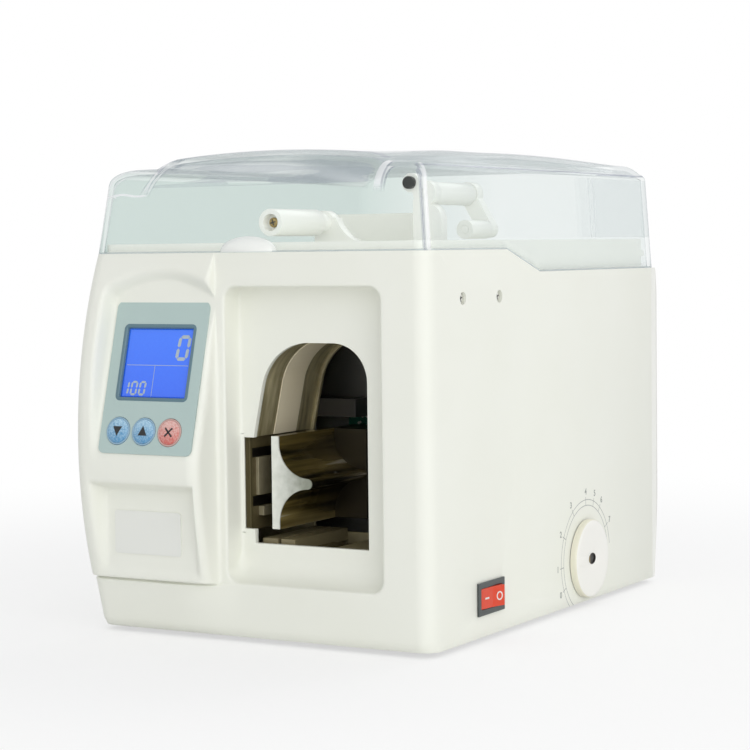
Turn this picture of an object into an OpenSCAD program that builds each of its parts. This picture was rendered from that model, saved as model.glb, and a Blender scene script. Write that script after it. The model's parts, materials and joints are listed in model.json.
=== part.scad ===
// Tabletop banknote strapping machine: a moulded body with a sloping control panel, a recessed note opening
// with a clamp behind it, a clear hinged lid over the tape guides, a power rocker and a setting dial.
// Each module is one physical piece. Lengths are millimetres, +Z is up, and the front faces -Y.

/* [Body] */
// Width of the moulded body
body_w = 184; // [176:1:210]
// Depth of the body at its base, from the front face to the back edge
body_d = 258; // [250:1:290]
// Height of the body's top edge at the front
front_h = 182.5; // [180:0.5:200]
// Drop of the top edge from the front part to the back part
seam_drop = 11; // [6:0.5:14]
// Distance from the front face to where the top edge starts to fall
fall_start = 79; // [60:1:100]
// Distance over which the top edge falls
fall_run = 36; // [20:1:50]
// Wall thickness of the mouldings
wall = 3; // [2:0.1:4]
// Radius of the front upright corners
corner_r = 8; // [5:0.5:14]
// Height of the rubber feet
foot_h = 2.5; // [2:0.1:6]
// Radius of the rubber feet
foot_r = 8; // [5:0.5:11]
// How far the back cover bulges out
rear_bulge = 10.8; // [6:0.1:16]

/* [Console] */
// How far the console bulges out in front of the front face
console_reach = 18.9; // [16:0.1:24]
// Left-to-right position of the console's right flank
console_edge = -21; // [-24:0.5:-20]
// Height of the ledge under the console
ledge_z = 27; // [22:0.5:30]
// Backward tilt of the control panel, in degrees
panel_tilt = 15; // [10:0.5:18]
// Width of the control panel overlay
panel_w = 53; // [46:0.5:54]
// Height of the control panel overlay along its slope
panel_h = 73.5; // [70:0.5:76]
// Left-to-right position of the panel's middle
panel_x = -50; // [-52:0.5:-49]
// Height of the panel's middle
panel_z = 124; // [122:0.5:126]
// Thickness of the panel overlay
overlay_t = 0.8; // [0.4:0.1:1.2]
// Width of the display window
lcd_w = 41.6; // [36:0.1:44]
// Height of the display window
lcd_h = 37.4; // [34:0.1:40]
// Position of the display's middle along the panel's slope
lcd_v = 7.2; // [6:0.1:9]
// Radius of each push button
button_r = 6.6; // [5:0.1:7]
// Distance between neighbouring buttons
button_pitch = 14.7; // [14.4:0.1:16]
// Position of the middle button across the panel
button_u = -1.5; // [-2:0.1:1]
// Position of the buttons along the panel's slope
button_v = -26; // [-28:0.1:-24]
// Travel of each push button
button_travel = 0.8; // [0.5:0.1:1.2]

/* [Note opening] */
// Depth of the recess in the front face
recess_depth = 13; // [8:0.5:14]
// Left edge of the recess
recess_x0 = -16.2; // [-17:0.1:-16]
// Right edge of the recess
recess_x1 = 67.2; // [62:0.1:72]
// Lower edge of the recess
recess_z0 = 28; // [24:0.5:32]
// Upper edge of the recess
recess_z1 = 166.5; // [160:0.5:170]
// Right edge of the note opening
opening_x1 = 53; // [50:0.5:56]
// Lower edge of the note opening
opening_z0 = 45.4; // [44:0.2:48]
// Radius of the opening's left arc
arch_left_r = 25.8; // [24:0.2:27]
// Radius of the opening's right arc
arch_right_r = 18; // [14:0.5:20]
// Top of the note opening
opening_top = 140.3; // [136:0.1:142]

/* [Clamp and tape path] */
// Width of the paper tape that the guides take
tape_w = 40; // [36:1:44]
// Thickness of the steel side plates
plate_t = 2; // [1.5:0.1:3]
// Thickness of the arch guides
arch_t = 3; // [2:0.1:4]
// Travel of the clamp jaw
clamp_travel = 26; // [18:1:28]
// Height of the clamp jaw's plate
jaw_h = 44; // [36:1:46]
// Thickness of the clamp jaw's plate
jaw_t = 4; // [3:0.5:5]
// Radius of the clamp guide rods
rod_r = 3; // [2.5:0.1:4]
// Radius of the clamp screw
screw_r = 4; // [3:0.1:5]
// Radial gap of shafts in their bores
run_gap = 0.05; // [0.03:0.01:0.09]

/* [Lid] */
// Wall thickness of the clear lid
lid_t = 2.5; // [2:0.1:3]
// Height of the lid's side shoulders above the front seam
shoulder_rise = 39.5; // [38:0.5:48]
// Height of the raised middle above the front seam
crown_rise = 48; // [46:0.5:60]
// Half width of the raised middle
crown_half = 62; // [50:1:68]
// Inward lean of the lid's walls over their height
lid_draft = 4.5; // [2:0.1:7]
// Height of the inner lip above the front seam
lip_rise = 4.5; // [3:0.1:6]

/* [Tape roll] */
// Radius of the paper core that the hub takes
hub_r = 19; // [15:0.5:24]
// Depth of the roll well below the deck
well_depth = 112; // [106:1:114]
// Length of the roll well, front to back
well_len = 114; // [100:1:118]

/* [Switch and dial] */
// Length of the power switch's bezel
bezel_len = 27; // [24:0.5:30]
// Height of the power switch's bezel
bezel_h = 15.5; // [14:0.5:18]
// Distance of the power switch from the front face
switch_y = 58.2; // [50:0.2:70]
// Height of the power switch
switch_z = 20.4; // [19:0.2:24]
// Distance of the dial from the front face
dial_y = 167; // [150:1:180]
// Height of the dial's middle
dial_z = 24.4; // [24:0.2:28]
// Radius of the setting knob
knob_r = 20; // [16:0.5:21]
// How far the setting knob stands out
knob_out = 4.5; // [4:0.1:8]

/* [Hidden] */
half_w = body_w / 2;
rear_h = front_h - seam_drop;
rear_edge = body_d - wall;
base_t = 2;
base_top = foot_h + base_t;
deck_t = 3;
deck_top = front_h - 1.5;
deck_z = deck_top - deck_t;
lip_gap = 0.9;
lip_top = front_h + lip_rise;
lip_low = rear_h - 2;
lip_t = 2.2;
lip_half = half_w - wall - lip_gap;
x_mid = knob_out / 2;
y_mid = (body_d + rear_bulge - console_reach) / 2;
body_span = front_h - foot_h;
barrel_z = foot_h + body_span / 2;
console_r = (pow(body_span / 2, 2) + pow(console_reach, 2)) / (2 * console_reach);
rear_r = (pow(body_span / 2, 2) + pow(rear_bulge, 2)) / (2 * rear_bulge);
panel_y = -console_reach + overlay_t * cos(panel_tilt) + panel_h / 2 * sin(panel_tilt);
scoop_r = 49.6;
scoop_v = 4.4;
label_y = -9;
chin_reach = 7;
button_us = [button_u - button_pitch, button_u, button_u + button_pitch];
recess_wall = 2.5;
slot_x0 = opening_x1 - 68.7;
sill_x1 = opening_x1 - 61.9;
sill_z = opening_z0 + 6.6;
fascia_back = recess_depth + recess_wall;
front_plate_y = fascia_back + 0.3;
arch_y0 = front_plate_y + plate_t;
arch_steel_w = 15;
liner_y0 = arch_y0 + arch_steel_w;
liner_w = tape_w / 2;
rear_arch_y0 = liner_y0 + liner_w;
rear_plate_y = rear_arch_y0 + arch_steel_w - 1;
plate_back = rear_plate_y + plate_t;
jaw_x = -2.8;
jaw_z0 = opening_z0 + 6.4;
jaw_mid = jaw_z0 + jaw_h / 2;
jaw_top = opening_z0 + 50;
jaw_y0 = arch_y0 + 0.7;
carriage_y0 = plate_back + 1;
carriage_d = 26;
carriage_w = 22;
rod_y = carriage_y0 + carriage_d / 2;
rod_dz = 15;
bracket_t = 4;
bracket_left_x = jaw_x - 26;
bracket_right_x = jaw_x + carriage_w + clamp_travel + 10;
clamp_motor_r = 13;
clamp_motor_len = 42;
feed_x = half_w - 28;
feed_z = base_top + 20;
feed_r = 9;
pinch_r = 6;
shaft_r = 3;
pinch_z = feed_z + feed_r + pinch_r + 0.5;
motor_x = feed_x - 30;
motor_z = feed_z;
motor_r = 15;
pulley_r = 8;
pulley_w = 8;
pulley_y = plate_back + 4;
cam_x = opening_x1 - 33;
cam_z = base_top + 12;
cam_r = 8;
head_z = cam_z + cam_r + 0.3;
guide_x = -7;
guide_z = 196.5 - 182.5 + front_h;
guide_r = 6.5;
guide_y0 = 27;
guide_len = 40.5;
collar_len = 7.5;
deck_wall_y = 103;
post_x = 59.5;
post_y = 60;
post_r = 7.5;
axle_z = 209.5 - 182.5 + front_h;
axle_x = 58;
stop_at = [axle_x - 7.2, axle_z + 5];
stop_r = 3;
arm_y = 104;
arm_t = 6;
arm_reach = 20;
arm_drop = 60;
arm_tip_x = axle_x + arm_reach * cos(arm_drop);
arm_tip_z = axle_z - arm_reach * sin(arm_drop);
hub_y = rear_edge - 9 - well_len / 2;
hub_z = deck_top - 56;
hub_w = 42;
well_half = hub_w / 2 + 6;
well_y0 = hub_y - well_len / 2;
well_y1 = hub_y + well_len / 2;
well_z0 = deck_top - well_depth;
hinge_y = body_d + 3.5;
hinge_z = rear_h + 3.2;
hinge_r = 3;
pin_r = 1.5;
hinge_xs = [-half_w + 34, half_w - 34];
hinge_half = 9;
ear_w = 6;
shoulder_z = front_h + shoulder_rise;
crown_z = front_h + crown_rise;
lid_round = 11;
lid_fn = 32;
side_screws_at = [[33.5, 160.5 - 182.5 + front_h], [70.6, 160.5 - 182.5 + front_h]];
foot_dx = half_w - 20;
foot_ys = [22, body_d - 24];
rear_screw_zs = [base_top + 8, rear_h - 14];
rear_screw_x = half_w - 9;
tape_slot_len = tape_w + 4;
inlet_x = -half_w + 34;
inlet_w = 28;
inlet_z0 = 18;
inlet_h = 20;
vent_x0 = half_w - 82;
vent_pitch = 6;
vent_zs = [66, 100];
transformer_x = -half_w + 38;
transformer_y = 162;
winding_w = 36;
core_w = 48;
power_x0 = transformer_x + core_w / 2 + 10;
power_x1 = half_w - 34;
power_y0 = 144;
power_y1 = 232;
power_z = base_top + 5;
power_t = 1.6;
bezel_rim = 2.7;
rocker_depth = 3;

$fn = 48;

// ---------- shared shapes ----------

// Puts a piece drawn from the front face's middle into the frame at the middle of the whole base.
module in_frame() translate([-x_mid, -y_mid, 0]) children();

module block(x0, x1, y0, y1, z0, z1) translate([x0, y0, z0]) cube([x1 - x0, y1 - y0, z1 - z0]);

module bar_y(x, z, y0, y1, r) translate([x, y0, z]) rotate([-90, 0, 0]) cylinder(r = r, h = y1 - y0);

module bar_x(y, z, x0, x1, r) translate([x0, y, z]) rotate([0, 90, 0]) cylinder(r = r, h = x1 - x0);

module bar_z(x, y, z0, z1, r) translate([x, y, z0]) cylinder(r = r, h = z1 - z0);

// A flat rectangle between two corners with round corners.
module round_rect(x0, x1, y0, y1, r) {
    translate([x0 + r, y0]) square([x1 - x0 - 2 * r, y1 - y0]);
    translate([x0, y0 + r]) square([x1 - x0, y1 - y0 - 2 * r]);
    for (x = [x0 + r, x1 - r], y = [y0 + r, y1 - r]) translate([x, y]) circle(r = r);
}

// Draws an outline given across and up, as a slab that runs from front to back.
module slab_y(y0, y1) translate([0, y1, 0]) rotate([90, 0, 0]) linear_extrude(y1 - y0) children();

// Draws an outline given front to back and up, as a slab that runs across.
module slab_x(x0, x1) translate([x0, 0, 0]) rotate([90, 0, 90]) linear_extrude(x1 - x0) children();

// Stands on the sloping panel: x across, y up the slope, z out of the panel.
module on_panel() translate([panel_x, panel_y, panel_z]) rotate([90 - panel_tilt, 0, 0]) children();

// ---------- body shell ----------

// The body's outline from above, drawn in by a wall.
module plan(inset, back) {
    translate([-half_w + inset, corner_r]) square([body_w - 2 * inset, back - corner_r]);
    translate([-half_w + corner_r, inset]) square([body_w - 2 * corner_r, corner_r - inset + 1]);
    for (x = [-half_w + corner_r, half_w - corner_r]) translate([x, corner_r]) circle(r = corner_r - inset);
}

// The console's barrel-shaped bulge at the left of the front.
module console_form(inset) intersection() {
    bar_x(console_r - console_reach, barrel_z, -half_w + inset, console_edge - inset, console_r - inset,
        $fn = 96);
    translate([0, 0, ledge_z + inset]) linear_extrude(front_h - ledge_z - 2 * inset)
        round_rect(-half_w + inset, console_edge - inset, -console_reach + inset, corner_r + 12, 6);
    slab_y(-console_reach - 1, corner_r + 13)
        round_rect(-half_w + inset, console_edge - inset, ledge_z + inset, front_h + 20, 14);
}

// The chin below the console, which leans out as it rises.
module chin_form(inset) intersection() {
    slab_x(-half_w + inset, console_edge - inset)
        polygon([[inset, foot_h - (inset > 0 ? 1 : 0)], [corner_r + 12, foot_h - (inset > 0 ? 1 : 0)],
            [corner_r + 12, ledge_z + inset], [inset - chin_reach, ledge_z + inset]]);
    linear_extrude(front_h)
        round_rect(-half_w + inset, console_edge - inset, -console_reach, corner_r + 20, 7);
}

module panel_pocket(grow) on_panel() translate([0, 0, -grow]) linear_extrude(30)
    intersection() {
        translate([0, scoop_v]) circle(r = scoop_r + grow, $fn = 96);
        translate([-panel_w / 2 - 1.5 - grow, -60]) square([panel_w + 3 + 2 * grow, 130]);
    }

module label_pocket(grow) slab_y(-console_reach - 5, label_y + grow)
    round_rect(-half_w + 6 - grow, console_edge - 4 + grow, ledge_z + 3 - grow, 73 + grow, 5);

module recess_pocket(grow) difference() {
    slab_y(-1, recess_depth + grow)
        round_rect(recess_x0 - grow, recess_x1 + grow, recess_z0 - grow, recess_z1 + grow, 6);
    if (grow == 0) difference() {
        block(recess_x0 - 1, recess_x1 + 1, 0, recess_depth + 1, recess_z0 - 1, recess_z0 + recess_depth);
        bar_x(0, recess_z0 + recess_depth, recess_x0 - 2, recess_x1 + 2, recess_depth);
    }
}

// Points along an arc about c, from one angle to another.
function arc(c, r, a0, a1, n) =
    [for (i = [0:n]) c + r * [cos(a0 + (a1 - a0) * i / n), sin(a0 + (a1 - a0) * i / n)]];

// The arched outline of the note opening, let out by a margin.
module arch_outline(grow) {
    left_c = [opening_x1 - 31.7, opening_top - arch_left_r];
    right_c = [opening_x1 - arch_right_r, opening_top - arch_right_r];
    lean = 12;
    // the left side leaves its arc in a straight line that leans in to the point above the slot
    left_arc = arc(left_c, arch_left_r + grow, 90, 180 - lean, 14);
    tangent = left_arc[14];
    foot = [tangent[0] - (tangent[1] - jaw_top) * tan(lean), jaw_top];
    polygon(concat(arc(right_c, arch_right_r + grow, 0, 90, 12), left_arc, [foot,
        [foot[0], opening_z0 - grow], [opening_x1 + grow, opening_z0 - grow]]));
}

module note_opening() {
    arch_outline(0);
    translate([slot_x0, sill_z]) square([8, jaw_top - sill_z]);
}

// The top edge of the body: level at the front, then a slope down to a lower level.
module above_seam(rise) slab_x(-half_w - 5, half_w + 5)
    polygon([[-30, front_h + rise], [fall_start, front_h + rise], [fall_start + fall_run, rear_h + rise],
        [body_d + 40, rear_h + rise], [body_d + 40, front_h + 80], [-30, front_h + 80]]);

module housing() color("whitesmoke") in_frame() difference() {
    union() {
        difference() {
            union() {
                translate([0, 0, foot_h]) linear_extrude(front_h - foot_h) plan(0, rear_edge);
                console_form(0);
                chin_form(0);
            }
            difference() {
                union() {
                    translate([0, 0, foot_h - 1])
                        linear_extrude(front_h - foot_h + 2) plan(wall, rear_edge + 1);
                    console_form(wall);
                    chin_form(wall);
                }
                panel_pocket(wall);
                label_pocket(wall);
                recess_pocket(recess_wall);
            }
        }
        // bosses behind the back edge's corners take the rear cover's screws
        for (s = [-1, 1], z = rear_screw_zs) difference() {
            hull() {
                bar_y(s * rear_screw_x, z, rear_edge - 16, rear_edge, 4.5);
                block(s * (half_w - 1.5) - 0.5, s * (half_w - 1.5) + 0.5, rear_edge - 16, rear_edge,
                    z - 4, z + 4);
            }
            bar_y(s * rear_screw_x, z, rear_edge - 17, rear_edge + 1, 1.5);
        }
        // small block in the recess's lower left corner
        block(recess_x0 - 1, sill_x1, 6, recess_depth + 1, opening_z0, sill_z);
    }
    panel_pocket(0);
    label_pocket(0);
    difference() {
        recess_pocket(0);
        block(recess_x0 - 1, sill_x1, 6, recess_depth + 1, opening_z0, sill_z);
    }
    slab_y(recess_depth - 2, fascia_back + 1) note_opening();
    above_seam(0);
    // display window and button holes in the panel's floor
    on_panel() {
        translate([-lcd_w / 2, lcd_v - lcd_h / 2, -wall - 1]) cube([lcd_w, lcd_h, wall + 2]);
        for (u = button_us) translate([u, button_v, -wall - 1]) cylinder(r = button_r + 0.3, h = wall + 2);
    }
    // switch cut-out, dial shaft hole and the two side screws
    block(half_w - wall - 1, half_w + 1, switch_y - bezel_len / 2 + 1.5, switch_y + bezel_len / 2 - 1.5,
        switch_z - bezel_h / 2 + 1.5, switch_z + bezel_h / 2 - 1.5);
    bar_x(dial_y, dial_z, half_w - wall - 1, half_w + 1, 4);
    for (p = side_screws_at) {
        bar_x(p[0], p[1], half_w - wall - 1, half_w + 1, 1.6);
        bar_x(p[0], p[1], half_w - 1.5, half_w + 1, 3);
    }
}

// The back cover's barrel form with its stepped chin.
module rear_form(inset) intersection() {
    union() {
        intersection() {
            bar_x(body_d + rear_bulge - rear_r, barrel_z, -half_w + inset, half_w - inset, rear_r - inset,
                $fn = 96);
            block(-half_w, half_w, rear_edge - 1, body_d + 30, foot_h + 42 + inset, rear_h - inset);
        }
        slab_x(-half_w + inset, half_w - inset)
            polygon([[rear_edge - 1, foot_h + inset], [body_d - inset, foot_h + inset],
                [body_d + 5 - inset, foot_h + 44], [rear_edge - 1, foot_h + 44]]);
    }
    linear_extrude(front_h) round_rect(-half_w + inset, half_w - inset, rear_edge - 20,
        body_d + rear_bulge - inset, corner_r - inset);
}

module rear_cover() color("whitesmoke") in_frame() difference() {
    union() {
        difference() {
            intersection() {
                rear_form(0);
                block(-half_w - 1, half_w + 1, rear_edge, body_d + 40, 0, front_h);
            }
            rear_form(wall);
        }
        intersection() {
            for (s = [-1, 1], z = rear_screw_zs) bar_y(s * rear_screw_x, z, rear_edge, body_d + 10, 5);
            rear_form(0);
        }
        // ears that carry the lid's hinge pins
        for (x = hinge_xs, s = [-1, 1])
            hull() {
                bar_x(hinge_y, hinge_z, x + s * (hinge_half - ear_w / 2) - ear_w / 2,
                    x + s * (hinge_half - ear_w / 2) + ear_w / 2, hinge_r);
                block(x + s * (hinge_half - ear_w / 2) - ear_w / 2,
                    x + s * (hinge_half - ear_w / 2) + ear_w / 2, body_d + 0.6, body_d + 1.6,
                    rear_h - 10, rear_h - 0.8);
            }
    }
    for (s = [-1, 1], z = rear_screw_zs) {
        bar_y(s * rear_screw_x, z, rear_edge - 1, body_d + 20, 1.6);
        bar_y(s * rear_screw_x, z, rear_edge + 4, body_d + 20, 3.3);
    }
    for (x = hinge_xs) bar_x(hinge_y, hinge_z, x - hinge_half - 1, x + hinge_half + 1, pin_r);
    // cooling slots
    for (i = [0:9]) block(vent_x0 + i * vent_pitch, vent_x0 + (i + 0.5) * vent_pitch,
        body_d - 10, body_d + 30, vent_zs[0], vent_zs[1]);
    // mains inlet cut-out
    block(inlet_x - inlet_w / 2, inlet_x + inlet_w / 2, rear_edge, body_d + 20, inlet_z0, inlet_z0 + inlet_h);
}

module base_plate() color("silver") in_frame() difference() {
    translate([0, 0, foot_h]) linear_extrude(base_t) round_rect(-half_w + wall + 0.2, half_w - wall - 0.2,
        wall + 0.2, rear_edge - 0.2, corner_r - wall);
    for (s = [-1, 1], y = foot_ys) bar_z(s * foot_dx, y, foot_h - 1, base_top + 1, 2.1);
}

module feet() color("dimgray") in_frame() for (s = [-1, 1], y = foot_ys) difference() {
    bar_z(s * foot_dx, y, 0, foot_h, foot_r);
    bar_z(s * foot_dx, y, -1, foot_h + 1, 2.1);
    bar_z(s * foot_dx, y, -1, 1.4, 4);
}

module foot_screws() color("silver") in_frame() for (s = [-1, 1], y = foot_ys) {
    bar_z(s * foot_dx, y, 0.4, 1.4, 3.8);
    bar_z(s * foot_dx, y, 1.4, base_top, 2);
    bar_z(s * foot_dx, y, base_top, base_top + 2.5, 3.5);
}

module rear_screws() color("silver") in_frame() for (s = [-1, 1], z = rear_screw_zs) {
    bar_y(s * rear_screw_x, z, rear_edge - 12, rear_edge + 4, 1.45);
    bar_y(s * rear_screw_x, z, rear_edge + 4, rear_edge + 5.5, 2.9);
}

module side_screws() color("white") in_frame() for (p = side_screws_at) {
    bar_x(p[0], p[1], half_w - 1.5, half_w - 0.3, 2.8);
    bar_x(p[0], p[1], half_w - 13, half_w - 1.5, 1.45);
}

module label_plate() color("gainsboro") in_frame() slab_y(label_y - 0.6, label_y)
    round_rect(-74, -36, 40, 60.6, 1.5);

// ---------- top deck, roll well and lid ----------

module lip_outline(inset) round_rect(-lip_half + inset, lip_half - inset, wall + lip_gap + inset,
    rear_edge - 1 - inset, corner_r - wall - inset);

module top_deck() color("white") in_frame() difference() {
    union() {
        translate([0, 0, deck_z]) linear_extrude(deck_t) plan(wall, rear_edge - 1);
        // lip around the deck, just inside the lid
        translate([0, 0, lip_low]) linear_extrude(lip_top - lip_low) difference() {
            lip_outline(0);
            lip_outline(lip_t);
        }
        // lugs that take the two side screws
        for (p = side_screws_at) block(half_w - 15, half_w - wall, p[0] - 5, p[0] + 5, p[1] - 6, deck_z + 1);
        // seats under the guide brackets
        block(-16, 32, 74, 83, deck_z, deck_top + 1);
        // upright wall between the roll well and the guides
        block(-24, 28, deck_wall_y, deck_wall_y + wall, deck_z, deck_top + 20);
    }
    for (p = side_screws_at) bar_x(p[0], p[1], half_w - 16, half_w, 1.5);
    // tape slots to the guides below
    block(guide_x - 14, guide_x - 4, guide_y0, guide_y0 + tape_slot_len, deck_z - 1, deck_top + 1);
    block(feed_x + 4, feed_x + 12, guide_y0, guide_y0 + tape_slot_len, deck_z - 1, deck_top + 1);
    // roll well
    block(-well_half, well_half, well_y0, well_y1, deck_z - 1, lip_top + 1);
    // clear of the housing's lower seam and of the wall behind the control panel
    for (s = [-1, 1]) block(s * half_w - wall - lip_gap, s * half_w + wall + lip_gap, fall_start, body_d,
        rear_h - 0.2, front_h);
    panel_pocket(wall + 0.4);
}

module roll_well() color("gainsboro") in_frame() difference() {
    union() {
        block(-well_half, well_half, well_y0, well_y1, well_z0, deck_z);
        block(-well_half - 5, well_half + 5, well_y0 - 5, well_y1 + 5 - 0.3, deck_z - 2, deck_z);
    }
    block(-well_half + 2.5, well_half - 2.5, well_y0 + 2.5, well_y1 - 2.5, well_z0 + 2.5, deck_z + 1);
    // notches that the hub's journals drop into
    bar_x(hub_y, hub_z, -well_half - 6, well_half + 6, 4 + run_gap);
    block(-well_half - 6, well_half + 6, hub_y - 4 - run_gap, hub_y + 4 + run_gap, hub_z, deck_z + 1);
}

module roll_hub() color("white") in_frame() {
    bar_x(hub_y, hub_z, -well_half - 1, well_half + 1, 4);
    difference() {
        union() {
            bar_x(hub_y, hub_z, -hub_w / 2, hub_w / 2, hub_r);
            bar_x(hub_y, hub_z, -hub_w / 2, -hub_w / 2 + 2, hub_r + 12);
        }
        for (s = [-1, 1])
            bar_x(hub_y, hub_z, s > 0 ? 3 : -hub_w / 2 - 1, s > 0 ? hub_w / 2 + 1 : -3, hub_r - 4);
    }
    for (s = [-1, 1]) bar_x(hub_y, hub_z, s > 0 ? 3 : -well_half + 4, s > 0 ? well_half - 4 : -3, 8);
}

// The lid's outer or inner form: leaning walls, round shoulders and a raised middle.
module lid_form(inset) {
    back = body_d - inset;
    low_z = front_h - (inset > 0 ? 1 : 0);
    r = lid_round - inset;
    top_x = half_w - lid_draft;
    hull() {
        for (s = [-1, 1]) {
            translate([s * (half_w - 6), 6, low_z]) cylinder(r = 6 - inset, h = 1, $fn = lid_fn);
            translate([s * (half_w - 6), body_d - 6, low_z]) cylinder(r = 6 - inset, h = 1, $fn = lid_fn);
            translate([s * (top_x - lid_round), lid_draft + lid_round, shoulder_z - lid_round])
                sphere(r = r, $fn = lid_fn);
            translate([s * (top_x - lid_round), body_d - lid_round - 1, shoulder_z - lid_round - 2])
                sphere(r = r, $fn = lid_fn);
        }
    }
    hull() {
        for (s = [-1, 1]) {
            translate([s * (crown_half - 8), lid_draft + 24, crown_z - 16])
                sphere(r = 16 - inset, $fn = lid_fn);
            translate([s * (crown_half - 16), 110, crown_z - 16 + 1]) sphere(r = 16 - inset, $fn = lid_fn);
            translate([s * (crown_half + 8), back - 14, crown_z - 18.5]) sphere(r = 14 - inset, $fn = lid_fn);
        }
    }
}

module lid_skirt(inset) translate([0, 0, rear_h]) linear_extrude(front_h - rear_h + 0.5) difference() {
    translate([-half_w, fall_start - 2]) square([body_w, body_d - fall_start + 2]);
    translate([-half_w + lid_t, fall_start - 3])
        square([body_w - 2 * lid_t, body_d - fall_start + 3 - lid_t]);
}

module lid() color("lightsteelblue", 0.35) in_frame() difference() {
    union() {
        difference() {
            lid_form(0);
            lid_form(lid_t);
            block(-half_w - 1, half_w + 1, -1, body_d + 1, 0, front_h);
        }
        intersection() {
            lid_skirt(0);
            above_seam(0);
        }
        // finger tab on the front edge
        intersection() {
            bar_z(-3.3, 18, front_h, front_h + 4.5, 23, $fn = 64);
            block(-20, 14, -6, 2, front_h, front_h + 6);
        }
        // knuckles between the back cover's ears
        for (x = hinge_xs) {
            bar_x(hinge_y, hinge_z, x - hinge_half + ear_w + 0.3, x + hinge_half - ear_w - 0.3, hinge_r);
            block(x - hinge_half + ear_w + 0.3, x + hinge_half - ear_w - 0.3, body_d - 1,
                hinge_y + hinge_r - 0.8, hinge_z, hinge_z + hinge_r + 4);
        }
    }
    for (x = hinge_xs) bar_x(hinge_y, hinge_z, x - hinge_half, x + hinge_half, pin_r + run_gap);
}

module hinge_pins() color("silver") in_frame() for (x = hinge_xs)
    bar_x(hinge_y, hinge_z, x - hinge_half, x + hinge_half, pin_r);

// ---------- control panel ----------

module panel_overlay() color("darkseagreen") in_frame() on_panel() linear_extrude(overlay_t) difference() {
    round_rect(-panel_w / 2, panel_w / 2, -panel_h / 2, panel_h / 2, 3);
    for (u = button_us) translate([u, button_v]) circle(r = button_r + 0.2);
    round_rect(-lcd_w / 2 + 1, lcd_w / 2 - 1, lcd_v - lcd_h / 2 + 1, lcd_v + lcd_h / 2 - 1, 1.5);
}

module display_window() color("dimgray") in_frame() on_panel() difference() {
    translate([0, 0, -1.2]) linear_extrude(1.2)
        round_rect(-lcd_w / 2 + 0.1, lcd_w / 2 - 0.1, lcd_v - lcd_h / 2 + 0.1, lcd_v + lcd_h / 2 - 0.1, 1.5);
    translate([0, 0, -2]) linear_extrude(3)
        round_rect(-lcd_w / 2 + 2.2, lcd_w / 2 - 2.2, lcd_v - lcd_h / 2 + 2.2, lcd_v + lcd_h / 2 - 2.2, 1);
}

module display_module() color("royalblue") in_frame() on_panel() union() {
    translate([-lcd_w / 2 + 0.4, lcd_v - lcd_h / 2 + 0.4, -wall - 4])
        cube([lcd_w - 0.8, lcd_h - 0.8, wall + 2.8]);
    translate([-lcd_w / 2 + 2.4, lcd_v - lcd_h / 2 + 2.4, -1.3]) cube([lcd_w - 4.8, lcd_h - 4.8, 0.6]);
}

module control_board() color("seagreen") in_frame() on_panel() {
    translate([-panel_w / 2 + 1, -panel_h / 2 + 2, -wall - 5.6]) cube([panel_w - 2, panel_h - 4, 1.6]);
    // tact switches under the buttons and corner posts up to the panel's floor
    for (u = button_us) translate([u - 3, button_v - 3, -wall - 4]) cube([6, 6, 2.4 - button_travel]);
    for (s = [-1, 1], v = [-panel_h / 2 + 5, panel_h / 2 - 5])
        translate([s * (panel_w / 2 - 4), v, -wall - 4]) cylinder(r = 1.5, h = 4);
}

module push_button(u, tint) color(tint) in_frame() on_panel() translate([u, button_v, 0]) {
    translate([0, 0, -wall - 1.5]) cylinder(r = button_r, h = wall + 1.5 + overlay_t);
    translate([0, 0, overlay_t - 0.01]) intersection() {
        cylinder(r = button_r, h = 1);
        translate([0, 0, 1 - 24]) sphere(r = 24, $fn = 96);
    }
}

module button_down() push_button(button_us[0], "steelblue");

module button_up() push_button(button_us[1], "steelblue");

module button_clear() push_button(button_us[2], "salmon");

// ---------- side switch and dial ----------

module switch_bezel() color("darkslategray") in_frame() difference() {
    union() {
        block(half_w, half_w + 1, switch_y - bezel_len / 2, switch_y + bezel_len / 2,
            switch_z - bezel_h / 2, switch_z + bezel_h / 2);
        block(half_w - 12, half_w, switch_y - bezel_len / 2 + 1.6, switch_y + bezel_len / 2 - 1.6,
            switch_z - bezel_h / 2 + 1.6, switch_z + bezel_h / 2 - 1.6);
        for (d = [-6, 0, 6]) block(half_w - 16, half_w - 12, switch_y + d - 2.4, switch_y + d + 2.4,
            switch_z - 0.4, switch_z + 0.4);
    }
    block(half_w - 7, half_w + 2, switch_y - bezel_len / 2 + bezel_rim, switch_y + bezel_len / 2 - bezel_rim,
        switch_z - bezel_h / 2 + bezel_rim, switch_z + bezel_h / 2 - bezel_rim);
}

// The rocker's cap: its front half is pressed in and its back half stands up.
module power_rocker() color("red") in_frame() {
    reach = bezel_len / 2 - bezel_rim - 0.3;
    translate([half_w - rocker_depth, switch_y, switch_z - bezel_h / 2 + bezel_rim + 0.2])
        linear_extrude(bezel_h - 2 * bezel_rim - 0.4) intersection() {
            circle(r = reach, $fn = 96);
            polygon([[-2, -4], [-2, 4], [0, reach + 1], [4.4 + reach * tan(15), reach], [4.4, 0],
                [4.4 - reach * tan(5), -reach], [0, -reach - 1]]);
        }
}

module setting_knob() color("white") in_frame() difference() {
    union() {
        bar_x(dial_y, dial_z, half_w + 0.3, half_w + knob_out - 0.8, knob_r);
        bar_x(dial_y, dial_z, half_w + 0.3, half_w + knob_out, knob_r - 1.2);
    }
    // the shaft's bore and the round hole in the face
    bar_x(dial_y, dial_z, half_w - 1, half_w + knob_out - 1.6, shaft_r + run_gap);
    bar_x(dial_y, dial_z, half_w, half_w + knob_out + 1, 2.2);
}

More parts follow.
